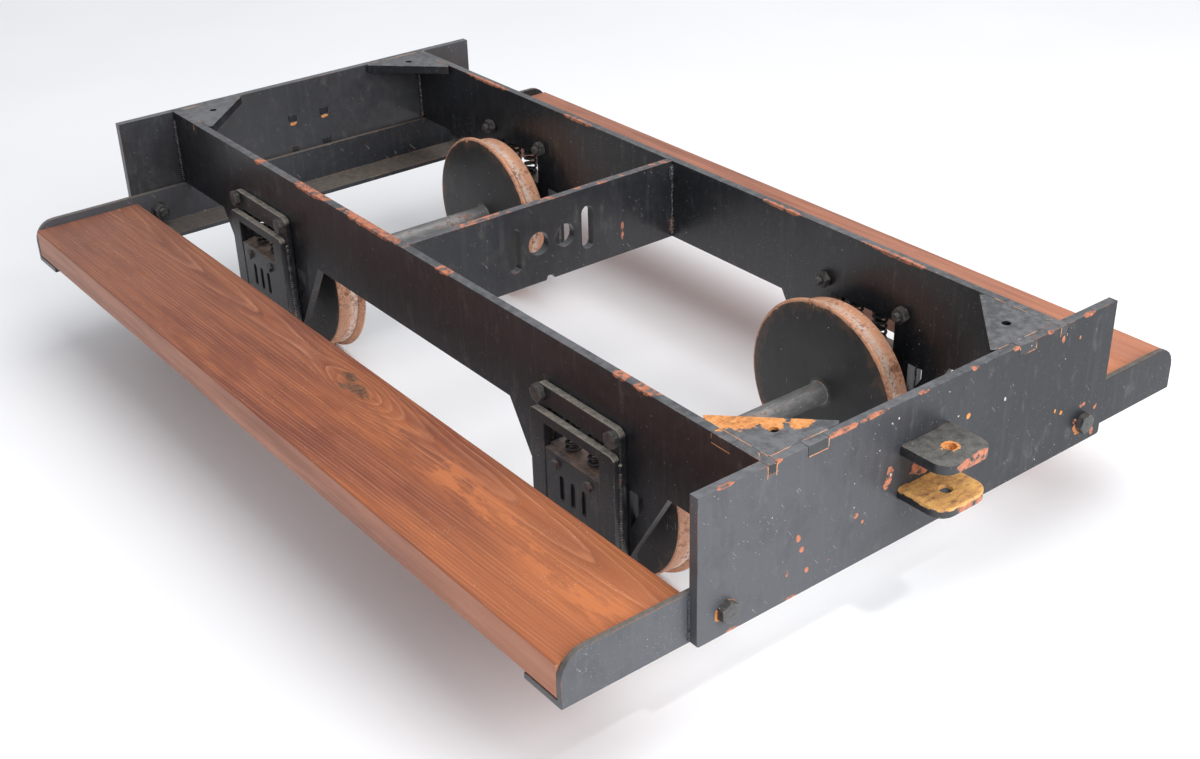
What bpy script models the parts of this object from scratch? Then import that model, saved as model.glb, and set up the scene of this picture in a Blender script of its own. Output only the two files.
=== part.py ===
"""Chassis of a small ride-on railway wagon: plate frame, four sprung flanged wheels, two footboards.

Metres, +Z up, floor under the wheel flanges at z = 0, X across the track, Y along the wagon.
"""

import math

import bmesh
import bpy
from mathutils import Vector
from mathutils.geometry import tessellate_polygon

# ---------------------------------------------------------------- driving dimensions
GAP = 0.0003                 # clearance kept between separate pieces

RAIL_HEIGHT = 0.264          # top of the frame above the floor
LENGTH = 1.144               # over the two end beams
PLATE = 0.010                # frame plate
BEAM_WIDTH = 0.540
BEAM_DEPTH = 0.150
FRAME_OUTER = 0.194          # outer face of a side plate from the centre line
SIDE_DEPTH = 0.098

AXLE_SPACING = 0.642
AXLE_DROP = 0.158            # axle centre below the frame top
AXLE_DIAMETER = 0.025
AXLE_HALF = 0.2004
FLANGE_RADIUS = 0.106
TREAD_RADIUS = 0.0995
TREAD_TAPER = 0.0015
WHEEL_WIDTH = 0.034
BACK_TO_BACK = 0.248

HORN_TOP_HALF = 0.124        # half width of a horn where it leaves the side plate
HORN_LOW_HALF = 0.0665
HORN_SLANT_END = 0.193       # below the frame top
HORN_BOTTOM = 0.211
GAP_HALF = 0.0465            # half width of the slot the axlebox slides in
GAP_TOP = 0.074
RELIEF = ((0.069, 0.115), (0.088, 0.115), (0.088, 0.126), (0.069, 0.158))

HORN_PLATE_T = 0.008
HORN_PLATE_TOP = 0.051
GUIDE_T = 0.008
GUIDE_TOP = 0.076
GUIDE_WINDOW_TOP = 0.087
GUIDE_WINDOW_HALF = 0.0435
KEEPER_TOP = 0.193
HORN_PLATE_HALF = 0.066
HORN_BOLT_Y = 0.0575
HORN_BOLT_DROP = 0.061

BOX_TOP = 0.113
BOX_INNER = 0.182
BOX_HALF = 0.046
COVER_HALF = 0.043
SPRING_RADIUS = 0.009
SPRING_WIRE = 0.0036
SPRING_TURNS = 5.5
SPRING_Y = 0.0178
SPRING_X = 0.193

CARRIER_WIDTH = 0.806
CARRIER_LEG = 0.052
CARRIER_T = 0.006
CARRIER_CORNER = 0.025
CARRIER_BOLT_X = 0.238
CARRIER_BOLT_RISE = 0.0255   # above the carrier's underside

BOARD_INNER = 0.265
BOARD_OUTER = 0.4025
BOARD_T = 0.036
BOARD_EDGE = 0.002

GUSSET_LEG = 0.086
GUSSET_T = 0.0105
GUSSET_HOLE = (0.033, 0.029)
GUSSET_HOLE_R = 0.0045
TAB = 0.024
TAB_START = 0.036            # from the inner corner to the near side of a gusset tab

EAR_HALF = 0.0325
EAR_REACH = 0.053
EAR_T = 0.010
EAR_CORNER = 0.016
EAR_DROPS = (0.045, 0.090)   # upper face of each ear below the beam top
EAR_PIN_Y = 0.028
EAR_PIN_R = 0.0065
EAR_TAB = 0.012
EAR_TAB_X = 0.0245

STRETCHER_T = 0.010

BOLT_R = 0.005
BOLT_AF = 0.0168
CARRIER_BOLT_R = 0.006
CARRIER_BOLT_AF = 0.0188

# ---------------------------------------------------------------- levels derived from them
TOP = RAIL_HEIGHT
AXLE_Z = TOP - AXLE_DROP
AXLE_Y = AXLE_SPACING / 2
END_Y = LENGTH / 2
INNER_Y = END_Y - PLATE
FRAME_INNER = FRAME_OUTER - PLATE


# ---------------------------------------------------------------- helpers
def clear_file():
    for item in list(bpy.data.objects):
        bpy.data.objects.remove(item, do_unlink=True)


def material(name, colour, rough, metallic):
    mat = bpy.data.materials.new(name + "_mat")
    mat.use_nodes = True
    node = mat.node_tree.nodes["Principled BSDF"]
    node.inputs["Base Color"].default_value = (*colour, 1.0)
    node.inputs["Roughness"].default_value = rough
    node.inputs["Metallic"].default_value = metallic
    return mat


PAINT = ((0.018, 0.019, 0.021), 0.45, 0.0)
STEEL = ((0.10, 0.085, 0.08), 0.5, 0.8)
RUST = ((0.22, 0.12, 0.09), 0.7, 0.3)
WOOD = ((0.26, 0.085, 0.035), 0.6, 0.0)


def solid(name, verts, faces, look, origin=(0, 0, 0), smooth=None):
    """One closed body from vertices in world coordinates, with its origin where asked."""
    mesh = bpy.data.meshes.new(name)
    bm = bmesh.new()
    made = [bm.verts.new(Vector(v) - Vector(origin)) for v in verts]
    for face in faces:
        try:
            bm.faces.new([made[i] for i in face])
        except ValueError:
            pass
    bmesh.ops.remove_doubles(bm, verts=bm.verts, dist=1e-6)
    bmesh.ops.recalc_face_normals(bm, faces=bm.faces)
    bm.to_mesh(mesh)
    bm.free()
    mesh.materials.append(material(name, *look))
    if smooth is not None:
        mesh.shade_smooth()
        mesh.set_sharp_from_angle(angle=math.radians(smooth))
    item = bpy.data.objects.new(name, mesh)
    item.location = origin
    bpy.context.scene.collection.objects.link(item)
    return item


def fill(loops):
    """Triangles over an outline with holes; indices run through the loops in order."""
    return tessellate_polygon([[Vector((p[0], p[1], 0)) for p in loop] for loop in loops])


def slab(loops, low, high, place):
    """Vertices and faces of a flat plate: 2-D loops between two levels, put in space by place()."""
    flat = [p for loop in loops for p in loop]
    count = len(flat)
    verts = [place(p[0], p[1], low) for p in flat] + [place(p[0], p[1], high) for p in flat]
    faces = []
    for tri in fill(loops):
        faces.append(tuple(tri))
        faces.append(tuple(i + count for i in reversed(tri)))
    start = 0
    for loop in loops:
        size = len(loop)
        for i in range(size):
            a, b = start + i, start + (i + 1) % size
            faces.append((a, b, b + count, a + count))
        start += size
    return verts, faces


def circle(cx, cy, radius, count, turn=0.0):
    step = 2 * math.pi / count
    return [(cx + radius * math.cos(turn + step * i), cy + radius * math.sin(turn + step * i))
            for i in range(count)]


def hexagon(cx, cy, across_flats, turn=0.0):
    return circle(cx, cy, across_flats / math.sqrt(3), 6, turn)


def rounded(points, radii, steps=4):
    """A closed outline whose corners are rounded where a radius is given."""
    out = []
    count = len(points)
    for i, (point, radius) in enumerate(zip(points, radii)):
        here = Vector(point)
        if not radius:
            out.append((here.x, here.y))
            continue
        before = (Vector(points[i - 1]) - here).normalized()
        after = (Vector(points[(i + 1) % count]) - here).normalized()
        half = before.angle(after) / 2
        back = radius / math.tan(half)
        centre = here + (before + after).normalized() * (radius / math.sin(half))
        start = here + before * back - centre
        end = here + after * back - centre
        sweep = start.angle_signed(end)
        for k in range(steps + 1):
            angle = -sweep * k / steps
            cs, sn = math.cos(angle), math.sin(angle)
            out.append((centre.x + start.x * cs - start.y * sn,
                        centre.y + start.x * sn + start.y * cs))
    return out


def slot(cx, cy, half_width, half_height, steps=5):
    """An upright round-ended slot."""
    rise = half_height - half_width
    top = [(cx + half_width * math.cos(math.pi * k / steps),
            cy + rise + half_width * math.sin(math.pi * k / steps)) for k in range(steps + 1)]
    low = [(cx - half_width * math.cos(math.pi * k / steps),
            cy - rise - half_width * math.sin(math.pi * k / steps)) for k in range(steps + 1)]
    return top + low


def stepped(sections, place):
    """A rod whose cross-section changes at each level: [(loop, low, high), ...]."""
    verts, faces = [], []

    def add(loop, level):
        start = len(verts)
        verts.extend(place(p[0], p[1], level) for p in loop)
        return list(range(start, start + len(loop)))

    def wall(a, b):
        size = len(a)
        for i in range(size):
            j = (i + 1) % size
            faces.append((a[i], a[j], b[j], b[i]))

    rings = []
    for loop, low, high in sections:
        first, last = add(loop, low), add(loop, high)
        wall(first, last)
        rings.append((loop, first, last))
    faces.append(tuple(reversed(rings[0][1])))
    faces.append(tuple(rings[-1][2]))
    for (loop_a, _, last), (loop_b, first, _) in zip(rings, rings[1:]):
        reach_a = max(math.hypot(*p) for p in loop_a)
        reach_b = max(math.hypot(*p) for p in loop_b)
        outer, inner = ((loop_a, last), (loop_b, first))
        if reach_b > reach_a:
            outer, inner = inner, outer
        index = outer[1] + inner[1]
        for tri in fill([outer[0], inner[0]]):
            faces.append(tuple(index[i] for i in tri))
    return verts, faces


def lathe(profile, count, centre, close):
    """Turn (along, radius) points about the X direction through centre."""
    verts, faces = [], []
    size = len(profile)
    for k in range(count):
        angle = 2 * math.pi * k / count
        cs, sn = math.cos(angle), math.sin(angle)
        for along, radius in profile:
            verts.append((centre[0] + along, centre[1] + radius * cs, centre[2] + radius * sn))
    for k in range(count):
        a, b = k * size, ((k + 1) % count) * size
        for i in range(size if close else size - 1):
            j = (i + 1) % size
            faces.append((a + i, a + j, b + j, b + i))
    if not close:
        faces.append(tuple(k * size for k in range(count)))
        faces.append(tuple(k * size + size - 1 for k in reversed(range(count))))
    return verts, faces


def coil(cx, cy, low, high, radius, wire, turns, per_turn=10, ring=5):
    """A coil spring with a closed turn at each end."""
    verts, faces = [], []
    steps = int(turns * per_turn)
    r = wire / 2
    mean = radius - r
    shut = 0.8
    dead = wire * 1.04 * shut
    live = (high - low - wire) - 2 * dead
    for k in range(steps + 1):
        turn = turns * k / steps
        if turn < shut:
            rise = dead * turn / shut
        elif turn > turns - shut:
            rise = dead + live + dead * (turn - turns + shut) / shut
        else:
            rise = dead + live * (turn - shut) / (turns - 2 * shut)
        angle = 2 * math.pi * turn
        out = Vector((math.cos(angle), math.sin(angle), 0))
        for m in range(ring):
            phi = 2 * math.pi * m / ring
            verts.append(tuple(Vector((cx, cy, low + r + rise)) + out * (mean + r * math.cos(phi))
                               + Vector((0, 0, r * math.sin(phi)))))
    for k in range(steps):
        for m in range(ring):
            n = (m + 1) % ring
            a, b = k * ring, (k + 1) * ring
            faces.append((a + m, a + n, b + n, b + m))
    faces.append(tuple(range(ring)))
    faces.append(tuple(steps * ring + m for m in reversed(range(ring))))
    return verts, faces


# ---------------------------------------------------------------- frame
def side_plate(name, side):
    """Side plate with its two pairs of horns; outline drawn in (y, z)."""
    end = INNER_Y - GAP
    base = TOP - SIDE_DEPTH
    tab_low = TOP - GUSSET_T
    tab_from = INNER_Y - TAB_START - TAB
    notch = (tab_from - GAP, tab_from + TAB + GAP)
    top_edge = [(-END_Y, TOP), (-END_Y, TOP - PLATE), (-end, TOP - PLATE), (-end, base)]
    lower = []
    for y in (-AXLE_Y, AXLE_Y):
        horn = [(-HORN_TOP_HALF, SIDE_DEPTH), (-HORN_LOW_HALF, HORN_SLANT_END),
                (-HORN_LOW_HALF, HORN_BOTTOM), (-GAP_HALF, HORN_BOTTOM), (-GAP_HALF, GAP_TOP)]
        lower += [(y + dy, TOP - dz) for dy, dz in horn]
        lower += [(y - dy, TOP - dz) for dy, dz in reversed(horn)]
    right = [(end, base), (end, TOP - PLATE), (END_Y, TOP - PLATE), (END_Y, TOP)]
    upper = []
    for sign in (1, -1):
        first, last = sorted((sign * notch[0], sign * notch[1]), reverse=True)
        upper += [(first, TOP), (first, tab_low - GAP), (last, tab_low - GAP), (last, TOP)]
    outline = top_edge + lower + right + upper
    loops = [outline]
    for y in (-AXLE_Y, AXLE_Y):
        for sign in (1, -1):
            loops.append([(y + sign * dy, TOP - dz) for dy, dz in RELIEF])
            loops.append(circle(y + sign * HORN_BOLT_Y, TOP - HORN_BOLT_DROP, BOLT_R + GAP, 12))
    verts, faces = slab(loops, FRAME_INNER, FRAME_OUTER, lambda y, z, x: (side * x, y, z))
    solid(name, verts, faces, PAINT, (side * (FRAME_INNER + PLATE / 2), 0, TOP - SIDE_DEPTH / 2), 30)


def end_beam(name, end):
    """End beam; outline in (x, z) with open notches for the tabs in its top edge."""
    half = BEAM_WIDTH / 2
    low = TOP - BEAM_DEPTH
    inner_tab = FRAME_INNER - TAB_START - TAB
    cuts = []
    for side in (1, -1):
        cuts.append(sorted((side * (FRAME_INNER - GAP), side * (FRAME_OUTER + GAP))) + [PLATE])
        cuts.append(sorted((side * (inner_tab - GAP), side * (inner_tab + TAB + GAP))) + [GUSSET_T])
    cuts.sort(reverse=True)
    outline = rounded([(-half, TOP), (-half, low), (half, low), (half, TOP)], [0, 0.003, 0.003, 0], 2)
    for first, last, depth in cuts:
        z = TOP - depth - GAP
        outline += [(last, TOP), (last, z), (first, z), (first, TOP)]
    loops = [outline]
    for side in (1, -1):
        loops.append(circle(side * CARRIER_BOLT_X, low + CARRIER_BOLT_RISE, CARRIER_BOLT_R + GAP, 12))
        for drop in EAR_DROPS:
            x, z = side * EAR_TAB_X, TOP - drop
            w = EAR_TAB / 2 + GAP
            loops.append([(x - w, z - EAR_T - GAP), (x + w, z - EAR_T - GAP), (x + w, z + GAP), (x - w, z + GAP)])
    verts, faces = slab(loops, INNER_Y, END_Y, lambda x, z, y: (x, end * y, z))
    solid(name, verts, faces, PAINT, (0, end * (INNER_Y + PLATE / 2), TOP - BEAM_DEPTH / 2), 30)


def centre_stretcher():
    """Cross plate at mid length, lightened by two slots and two round holes."""
    half = FRAME_INNER - GAP
    low = TOP - SIDE_DEPTH
    outline = [(-half, low), (-0.006, low), (-0.004, low + 0.005), (0.004, low + 0.005), (0.006, low),
               (half, low), (half, TOP), (-half, TOP)]
    mid = TOP - SIDE_DEPTH / 2
    loops = [outline, slot(-0.048, mid, 0.008, 0.027), circle(-0.015, mid, 0.014, 16),
             circle(0.022, mid, 0.014, 16), slot(0.055, mid, 0.008, 0.027)]
    verts, faces = slab(loops, -STRETCHER_T / 2, STRETCHER_T / 2, lambda x, z, y: (x, y, z))
    solid("centre_stretcher", verts, faces, PAINT, (0, 0, mid), 30)


def corner_gusset(name, side, end):
    """Triangular corner plate with one tab into the beam and one into the side plate."""
    low, high = TAB_START, TAB_START + TAB
    through = PLATE
    g = GAP
    outline = [(g, g), (low, g), (low, -through), (high, -through), (high, g), (GUSSET_LEG - 0.004, g),
               (GUSSET_LEG, 0.004), (0.004, GUSSET_LEG), (g, GUSSET_LEG - 0.004), (g, high), (-through, high),
               (-through, low), (g, low)]
    loops = [outline, circle(*GUSSET_HOLE, GUSSET_HOLE_R, 16)]
    place = lambda u, v, z: (side * (FRAME_INNER - u), end * (INNER_Y - v), z)
    verts, faces = slab(loops, TOP - GUSSET_T, TOP, place)
    solid(name, verts, faces, PAINT,
          (side * (FRAME_INNER - 0.03), end * (INNER_Y - 0.03), TOP - GUSSET_T / 2), 30)


def footboard_carrier(name, end):
    """Equal angle across the wagon, upright leg against the end beam, other leg inwards at the bottom."""
    half = CARRIER_WIDTH / 2
    low = TOP - BEAM_DEPTH
    ledge = low + CARRIER_T
    top = low + CARRIER_LEG
    back = INNER_Y - GAP
    face = back - CARRIER_T
    toe = back - CARRIER_LEG
    shoulder = rounded([(half, ledge), (half, top), (-half, top), (-half, ledge)],
                       [0, CARRIER_CORNER, CARRIER_CORNER, 0], 6)
    holes = [circle(s * CARRIER_BOLT_X, low + CARRIER_BOLT_RISE, CARRIER_BOLT_R + GAP, 12) for s in (1, -1)]
    rim = shoulder[1:-1]
    outer = [(half, low)] + rim + [(-half, low)]
    inner = [(half, ledge)] + rim + [(-half, ledge)]
    verts, faces = [], []

    def add(points):
        start = len(verts)
        verts.extend(points)
        return list(range(start, start + len(points)))

    levels = []
    for loop, y in ((outer, back), (inner, face)):
        loops = [loop] + holes
        index = add([(p[0], end * y, p[1]) for lp in loops for p in lp])
        faces.extend(tuple(index[i] for i in tri) for tri in fill(loops))
        levels.append((index, [len(lp) for lp in loops]))
    (a, sizes), (b, _) = levels
    for i in range(1, sizes[0] - 2):
        faces.append((a[i], a[i + 1], b[i + 1], b[i]))
    start = sizes[0]
    for size in sizes[1:]:
        for i in range(size):
            j = (i + 1) % size
            faces.append((a[start + i], a[start + j], b[start + j], b[start + i]))
        start += size
    for s in (1, -1):
        shoulder_z = rim[0][1]
        foot = add([(s * half, end * y, z) for y, z in
                    ((back, low), (toe, low), (toe, ledge), (face, ledge), (face, shoulder_z), (back, shoulder_z))])
        faces.append(tuple(foot))
    quads = [((back, low), (toe, low)), ((toe, low), (toe, ledge)), ((toe, ledge), (face, ledge))]
    for (y0, z0), (y1, z1) in quads:
        faces.append(tuple(add([(half, end * y0, z0), (-half, end * y0, z0),
                                (-half, end * y1, z1), (half, end * y1, z1)])))
    solid(name, verts, faces, PAINT, (0, end * (back - CARRIER_LEG / 2), low + CARRIER_LEG / 2), 30)


def footboard(name, side):
    low = TOP - BEAM_DEPTH + CARRIER_T + GAP
    high = low + BOARD_T
    reach = INNER_Y - GAP - CARRIER_T - 0.0007
    e = BOARD_EDGE
    x0, x1 = BOARD_INNER, BOARD_OUTER
    outline = rounded([(x0, low), (x1, low), (x1, high), (x0, high)], [e, e, e, e], 2)
    verts, faces = slab([outline], -reach, reach, lambda x, z, y: (side * x, y, z))
    solid(name, verts, faces, WOOD, (side * (x0 + x1) / 2, 0, low + BOARD_T / 2), 40)


def coupling_ear(name, end, drop):
    """One of the two ears of a drawbar clevis, tabbed through the end beam."""
    w, t = EAR_HALF, EAR_TAB / 2
    g = GAP
    outline = [(-w, g)]
    for x in (-EAR_TAB_X, EAR_TAB_X):
        outline += [(x - t, g), (x - t, -PLATE), (x + t, -PLATE), (x + t, g)]
    outline.append((w, g))
    corners = [(w, 0), (w, EAR_REACH), (-w, EAR_REACH), (-w, 0)]
    outline += rounded(corners, [0, EAR_CORNER, EAR_CORNER, 0], 5)[1:-1]
    loops = [outline, circle(0, EAR_PIN_Y, EAR_PIN_R, 20)]
    verts, faces = slab(loops, TOP - drop - EAR_T, TOP - drop, lambda x, v, z: (x, end * (END_Y + v), z))
    solid(name, verts, faces, PAINT, (0, end * (END_Y + EAR_PIN_Y), TOP - drop - EAR_T / 2), 30)


def carrier_bolt(name, side, end):
    """Hexagon bolt, nut and washer through end beam and carrier."""
    r = CARRIER_BOLT_R
    head = hexagon(0, 0, CARRIER_BOLT_AF, 0.3 if side > 0 else 0.1)
    nut = hexagon(0, 0, CARRIER_BOLT_AF, 0.2)
    shank = circle(0, 0, r, 12)
    washer = circle(0, 0, 0.0115, 16)
    outer = END_Y + GAP
    inner = INNER_Y - GAP - CARRIER_T - GAP
    sections = [(shank, -inner + 0.0165, -inner + 0.0125), (nut, -inner + 0.0125, -inner + 0.0020),
                (washer, -inner + 0.0020, -inner), (shank, -inner, -outer), (head, -outer, -outer - 0.0075)]
    z = TOP - BEAM_DEPTH + CARRIER_BOLT_RISE
    place = lambda u, v, w: (side * CARRIER_BOLT_X + u, -end * w, z + v)
    verts, faces = stepped(sections, place)
    solid(name, verts, faces, STEEL, (side * CARRIER_BOLT_X, end * END_Y, z), 40)


# ---------------------------------------------------------------- suspension and wheels
PLATE_X = FRAME_OUTER + GAP
GUIDE_X = PLATE_X + HORN_PLATE_T + GAP


def horn_plate(name, side, y):
    """Backing plate bolted to the outside of the horns."""
    h = HORN_PLATE_HALF
    low, high = TOP - HORN_BOTTOM, TOP - HORN_PLATE_TOP
    outline = rounded([(y - h, low), (y + h, low), (y + h, high), (y - h, high)], [0.004, 0.004, 0.010, 0.010])
    window = [(y - GAP_HALF, TOP - KEEPER_TOP), (y + GAP_HALF, TOP - KEEPER_TOP),
              (y + GAP_HALF, TOP - GAP_TOP), (y - GAP_HALF, TOP - GAP_TOP)]
    loops = [outline, window]
    for s in (1, -1):
        loops.append(circle(y + s * HORN_BOLT_Y, TOP - HORN_BOLT_DROP, BOLT_R + GAP, 12))
    verts, faces = slab(loops, PLATE_X, PLATE_X + HORN_PLATE_T, lambda u, z, x: (side * x, u, z))
    solid(name, verts, faces, PAINT, (side * (PLATE_X + HORN_PLATE_T / 2), y, AXLE_Z), 30)


def horn_guide(name, side, y):
    """Window frame in front of the backing plate; keeps the axlebox in."""
    h = HORN_PLATE_HALF
    low, high = TOP - HORN_BOTTOM, TOP - GUIDE_TOP
    outline = rounded([(y - h, low), (y + h, low), (y + h, high), (y - h, high)], [0.004, 0.004, 0.007, 0.007])
    w = GUIDE_WINDOW_HALF
    window = [(y - w, TOP - KEEPER_TOP), (y + w, TOP - KEEPER_TOP),
              (y + w, TOP - GUIDE_WINDOW_TOP), (y - w, TOP - GUIDE_WINDOW_TOP)]
    verts, faces = slab([outline, window], GUIDE_X, GUIDE_X + GUIDE_T, lambda u, z, x: (side * x, u, z))
    solid(name, verts, faces, PAINT, (side * (GUIDE_X + GUIDE_T / 2), y, AXLE_Z), 30)


def horn_bolt(name, side, y, turn):
    """Hexagon bolt and nut holding a backing plate to the horns."""
    head = hexagon(0, 0, BOLT_AF, turn)
    nut = hexagon(0, 0, BOLT_AF, turn + 0.35)
    shank = circle(0, 0, BOLT_R, 12)
    face = GUIDE_X
    inner = FRAME_INNER - GAP
    sections = [(shank, inner - 0.0140, inner - 0.0085), (nut, inner - 0.0085, inner),
                (shank, inner, face), (head, face, face + 0.0066)]
    z = TOP - HORN_BOLT_DROP
    verts, faces = stepped(sections, lambda u, v, x: (side * x, y + u, z + v))
    solid(name, verts, faces, STEEL, (side * FRAME_OUTER, y, z), 40)


def axlebox(name, side, y):
    """Sliding axlebox: block between the horns, cover plate in the guide window, two screw heads."""
    low, high = TOP - KEEPER_TOP + GAP, TOP - BOX_TOP
    block_out = GUIDE_X - GAP
    cover_out = GUIDE_X + GUIDE_T - 0.0008
    bore = circle(y, AXLE_Z, AXLE_DIAMETER / 2 + GAP, 24)
    block = [(y - BOX_HALF, low), (y + BOX_HALF, low), (y + BOX_HALF, high), (y - BOX_HALF, high)]
    lip = 0.0005
    cover = [(y - COVER_HALF, low + lip), (y + COVER_HALF, low + lip),
             (y + COVER_HALF, high - lip), (y - COVER_HALF, high - lip)]
    heads = [hexagon(y + s * 0.026, TOP - 0.126, 0.010, 0.2 * s) for s in (1, -1)]
    slots = [slot(y + s * 0.0125, TOP - 0.151, 0.0035, 0.015, 4) for s in (-1.4, 0, 1.4)]
    bore_end = 0.2010
    pocket = cover_out - 0.004
    screw = cover_out + 0.0035
    verts, faces = [], []

    def level(loops, x):
        start = len(verts)
        verts.extend((side * x, p[0], p[1]) for lp in loops for p in lp)
        out = []
        for lp in loops:
            out.append(list(range(start, start + len(lp))))
            start += len(lp)
        return out

    def cap(loops, rings):
        index = [i for ring in rings for i in ring]
        faces.extend(tuple(index[i] for i in tri) for tri in fill(loops))

    def wall(a, b):
        for i in range(len(a)):
            j = (i + 1) % len(a)
            faces.append((a[i], a[j], b[j], b[i]))

    back = level([block, bore], BOX_INNER)
    cap([block, bore], back)
    end_ring = level([bore], bore_end)
    wall(back[1], end_ring[0])
    cap([bore], end_ring)
    step = level([block, cover], block_out)
    wall(back[0], step[0])
    cap([block, cover], step)
    front = level([cover] + heads + slots, cover_out)
    cap([cover] + heads + slots, front)
    wall(step[1], front[0])
    for k in (1, 2):
        top = level([heads[k - 1]], screw)
        wall(front[k], top[0])
        faces.append(tuple(top[0]))
    for k in (3, 4, 5):
        deep = level([slots[k - 3]], pocket)
        wall(front[k], deep[0])
        cap([slots[k - 3]], deep)
    solid(name, verts, faces, PAINT, (side * (BOX_INNER + block_out) / 2, y, AXLE_Z), 30)


def spring(name, side, y):
    low, high = TOP - BOX_TOP + GAP, TOP - GAP_TOP - GAP
    verts, faces = coil(side * SPRING_X, y, low, high, SPRING_RADIUS, SPRING_WIRE, SPRING_TURNS)
    solid(name, verts, faces, STEEL, (side * SPRING_X, y, high), 60)


def wheel(name, side, y):
    """Solid disc wheel with a coned tread and an inside flange."""
    bore = AXLE_DIAMETER / 2 + GAP
    inner = BACK_TO_BACK / 2
    tread = TREAD_RADIUS
    profile = [(0, bore), (0, FLANGE_RADIUS - 0.0025), (0.0015, FLANGE_RADIUS - 0.0004),
               (0.0035, FLANGE_RADIUS), (0.0055, FLANGE_RADIUS - 0.0008), (0.0078, tread + 0.0018), (0.0105, tread),
               (WHEEL_WIDTH - 0.0015, tread - TREAD_TAPER), (WHEEL_WIDTH, tread - TREAD_TAPER - 0.0015),
               (WHEEL_WIDTH, bore)]
    points = [(side * (inner + a), r) for a, r in profile]
    verts, faces = lathe(points, 44, (0, y, AXLE_Z), True)
    solid(name, verts, faces, RUST, (side * (inner + WHEEL_WIDTH / 2), y, AXLE_Z), 25)


def axle(name, y):
    r, c = AXLE_DIAMETER / 2, 0.001
    profile = [(-AXLE_HALF, r - c), (-AXLE_HALF + c, r), (AXLE_HALF - c, r), (AXLE_HALF, r - c)]
    verts, faces = lathe(profile, 24, (0, y, AXLE_Z), False)
    solid(name, verts, faces, STEEL, (0, y, AXLE_Z), 40)


# ---------------------------------------------------------------- assembly
def build():
    clear_file()
    sides = (("left", -1), ("right", 1))
    ends = (("front", -1), ("rear", 1))
    for side_name, side in sides:
        side_plate("side_plate_" + side_name, side)
        footboard("footboard_" + side_name, side)
    centre_stretcher()
    for end_name, end in ends:
        end_beam("end_beam_" + end_name, end)
        footboard_carrier("footboard_carrier_" + end_name, end)
        coupling_ear("coupling_ear_upper_" + end_name, end, EAR_DROPS[0])
        coupling_ear("coupling_ear_lower_" + end_name, end, EAR_DROPS[1])
        axle("axle_" + end_name, end * AXLE_Y)
        for side_name, side in sides:
            where = end_name + "_" + side_name
            y = end * AXLE_Y
            corner_gusset("corner_gusset_" + where, side, end)
            carrier_bolt("carrier_bolt_" + where, side, end)
            horn_plate("horn_plate_" + where, side, y)
            horn_guide("horn_guide_" + where, side, y)
            axlebox("axlebox_" + where, side, y)
            wheel("wheel_" + where, side, y)
            for tag, sign in (("a", -1), ("b", 1)):
                horn_bolt("horn_bolt_" + where + "_" + tag, side, y + sign * HORN_BOLT_Y, 0.15 + 0.3 * sign)
                spring("spring_" + where + "_" + tag, side, y + sign * SPRING_Y)


build()
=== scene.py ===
"""Looks of a ride-on railway wagon chassis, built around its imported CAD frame. Metres, Z up."""

import math
import random

import bmesh
import bpy
from mathutils import Matrix, Vector, noise


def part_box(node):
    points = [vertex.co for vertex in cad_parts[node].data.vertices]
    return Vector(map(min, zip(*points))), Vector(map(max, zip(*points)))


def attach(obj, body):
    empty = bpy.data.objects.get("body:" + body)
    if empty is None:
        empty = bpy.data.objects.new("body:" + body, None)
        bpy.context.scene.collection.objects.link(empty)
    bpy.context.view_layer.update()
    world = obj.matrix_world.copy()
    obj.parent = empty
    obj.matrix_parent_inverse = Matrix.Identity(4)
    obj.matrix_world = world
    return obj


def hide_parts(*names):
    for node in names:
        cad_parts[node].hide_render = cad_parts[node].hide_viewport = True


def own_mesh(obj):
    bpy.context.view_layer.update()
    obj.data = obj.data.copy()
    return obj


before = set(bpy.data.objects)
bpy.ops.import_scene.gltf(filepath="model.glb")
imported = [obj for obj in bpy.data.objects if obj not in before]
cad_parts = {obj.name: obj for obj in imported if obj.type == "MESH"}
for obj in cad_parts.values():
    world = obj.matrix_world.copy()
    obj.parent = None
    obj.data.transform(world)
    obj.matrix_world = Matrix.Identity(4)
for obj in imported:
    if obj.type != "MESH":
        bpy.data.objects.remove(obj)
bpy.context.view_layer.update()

# ---------------------------------------------------------------- places taken from the frame
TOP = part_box("end_beam_front")[1].z
BEAM_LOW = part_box("end_beam_front")[0].z
END_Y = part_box("end_beam_rear")[1].y
BEAM_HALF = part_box("end_beam_rear")[1].x
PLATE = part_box("side_plate_right")[1].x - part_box("side_plate_right")[0].x
FRAME_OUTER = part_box("side_plate_right")[1].x
FRAME_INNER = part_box("side_plate_right")[0].x
INNER_Y = END_Y - PLATE
SIDE_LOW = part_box("centre_stretcher")[0].z
WHEEL_LOW, WHEEL_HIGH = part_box("wheel_rear_right")
AXLE_Y = (WHEEL_LOW.y + WHEEL_HIGH.y) / 2
AXLE_Z = (WHEEL_LOW.z + WHEEL_HIGH.z) / 2
FLANGE_R = (WHEEL_HIGH.z - WHEEL_LOW.z) / 2
BOARD_LOW, BOARD_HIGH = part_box("footboard_right")
CARRIER_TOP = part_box("footboard_carrier_front")[1].z
GUSSET_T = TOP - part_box("corner_gusset_rear_right")[0].z
GUIDE_LOW, GUIDE_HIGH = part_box("horn_guide_rear_right")
TAB_SEAM = (0.036, 0.060)        # from the inner corner to both sides of a gusset tab
PITH_IN = 0.028                  # from a board's inner edge to the pith of its log
RING = 0.0038                    # one year's growth
HORN_BOLT_OUT = 0.0575           # from the axle's line to a horn bolt, along the wagon
HORN_BOLT_DROP = 0.061           # from the frame top
CARRIER_BOLT_RISE = 0.0255       # from the end beam's underside
M10_HEAD, M10_NUT, M10_PITCH = 0.0168, 0.0166, 0.0015
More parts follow.
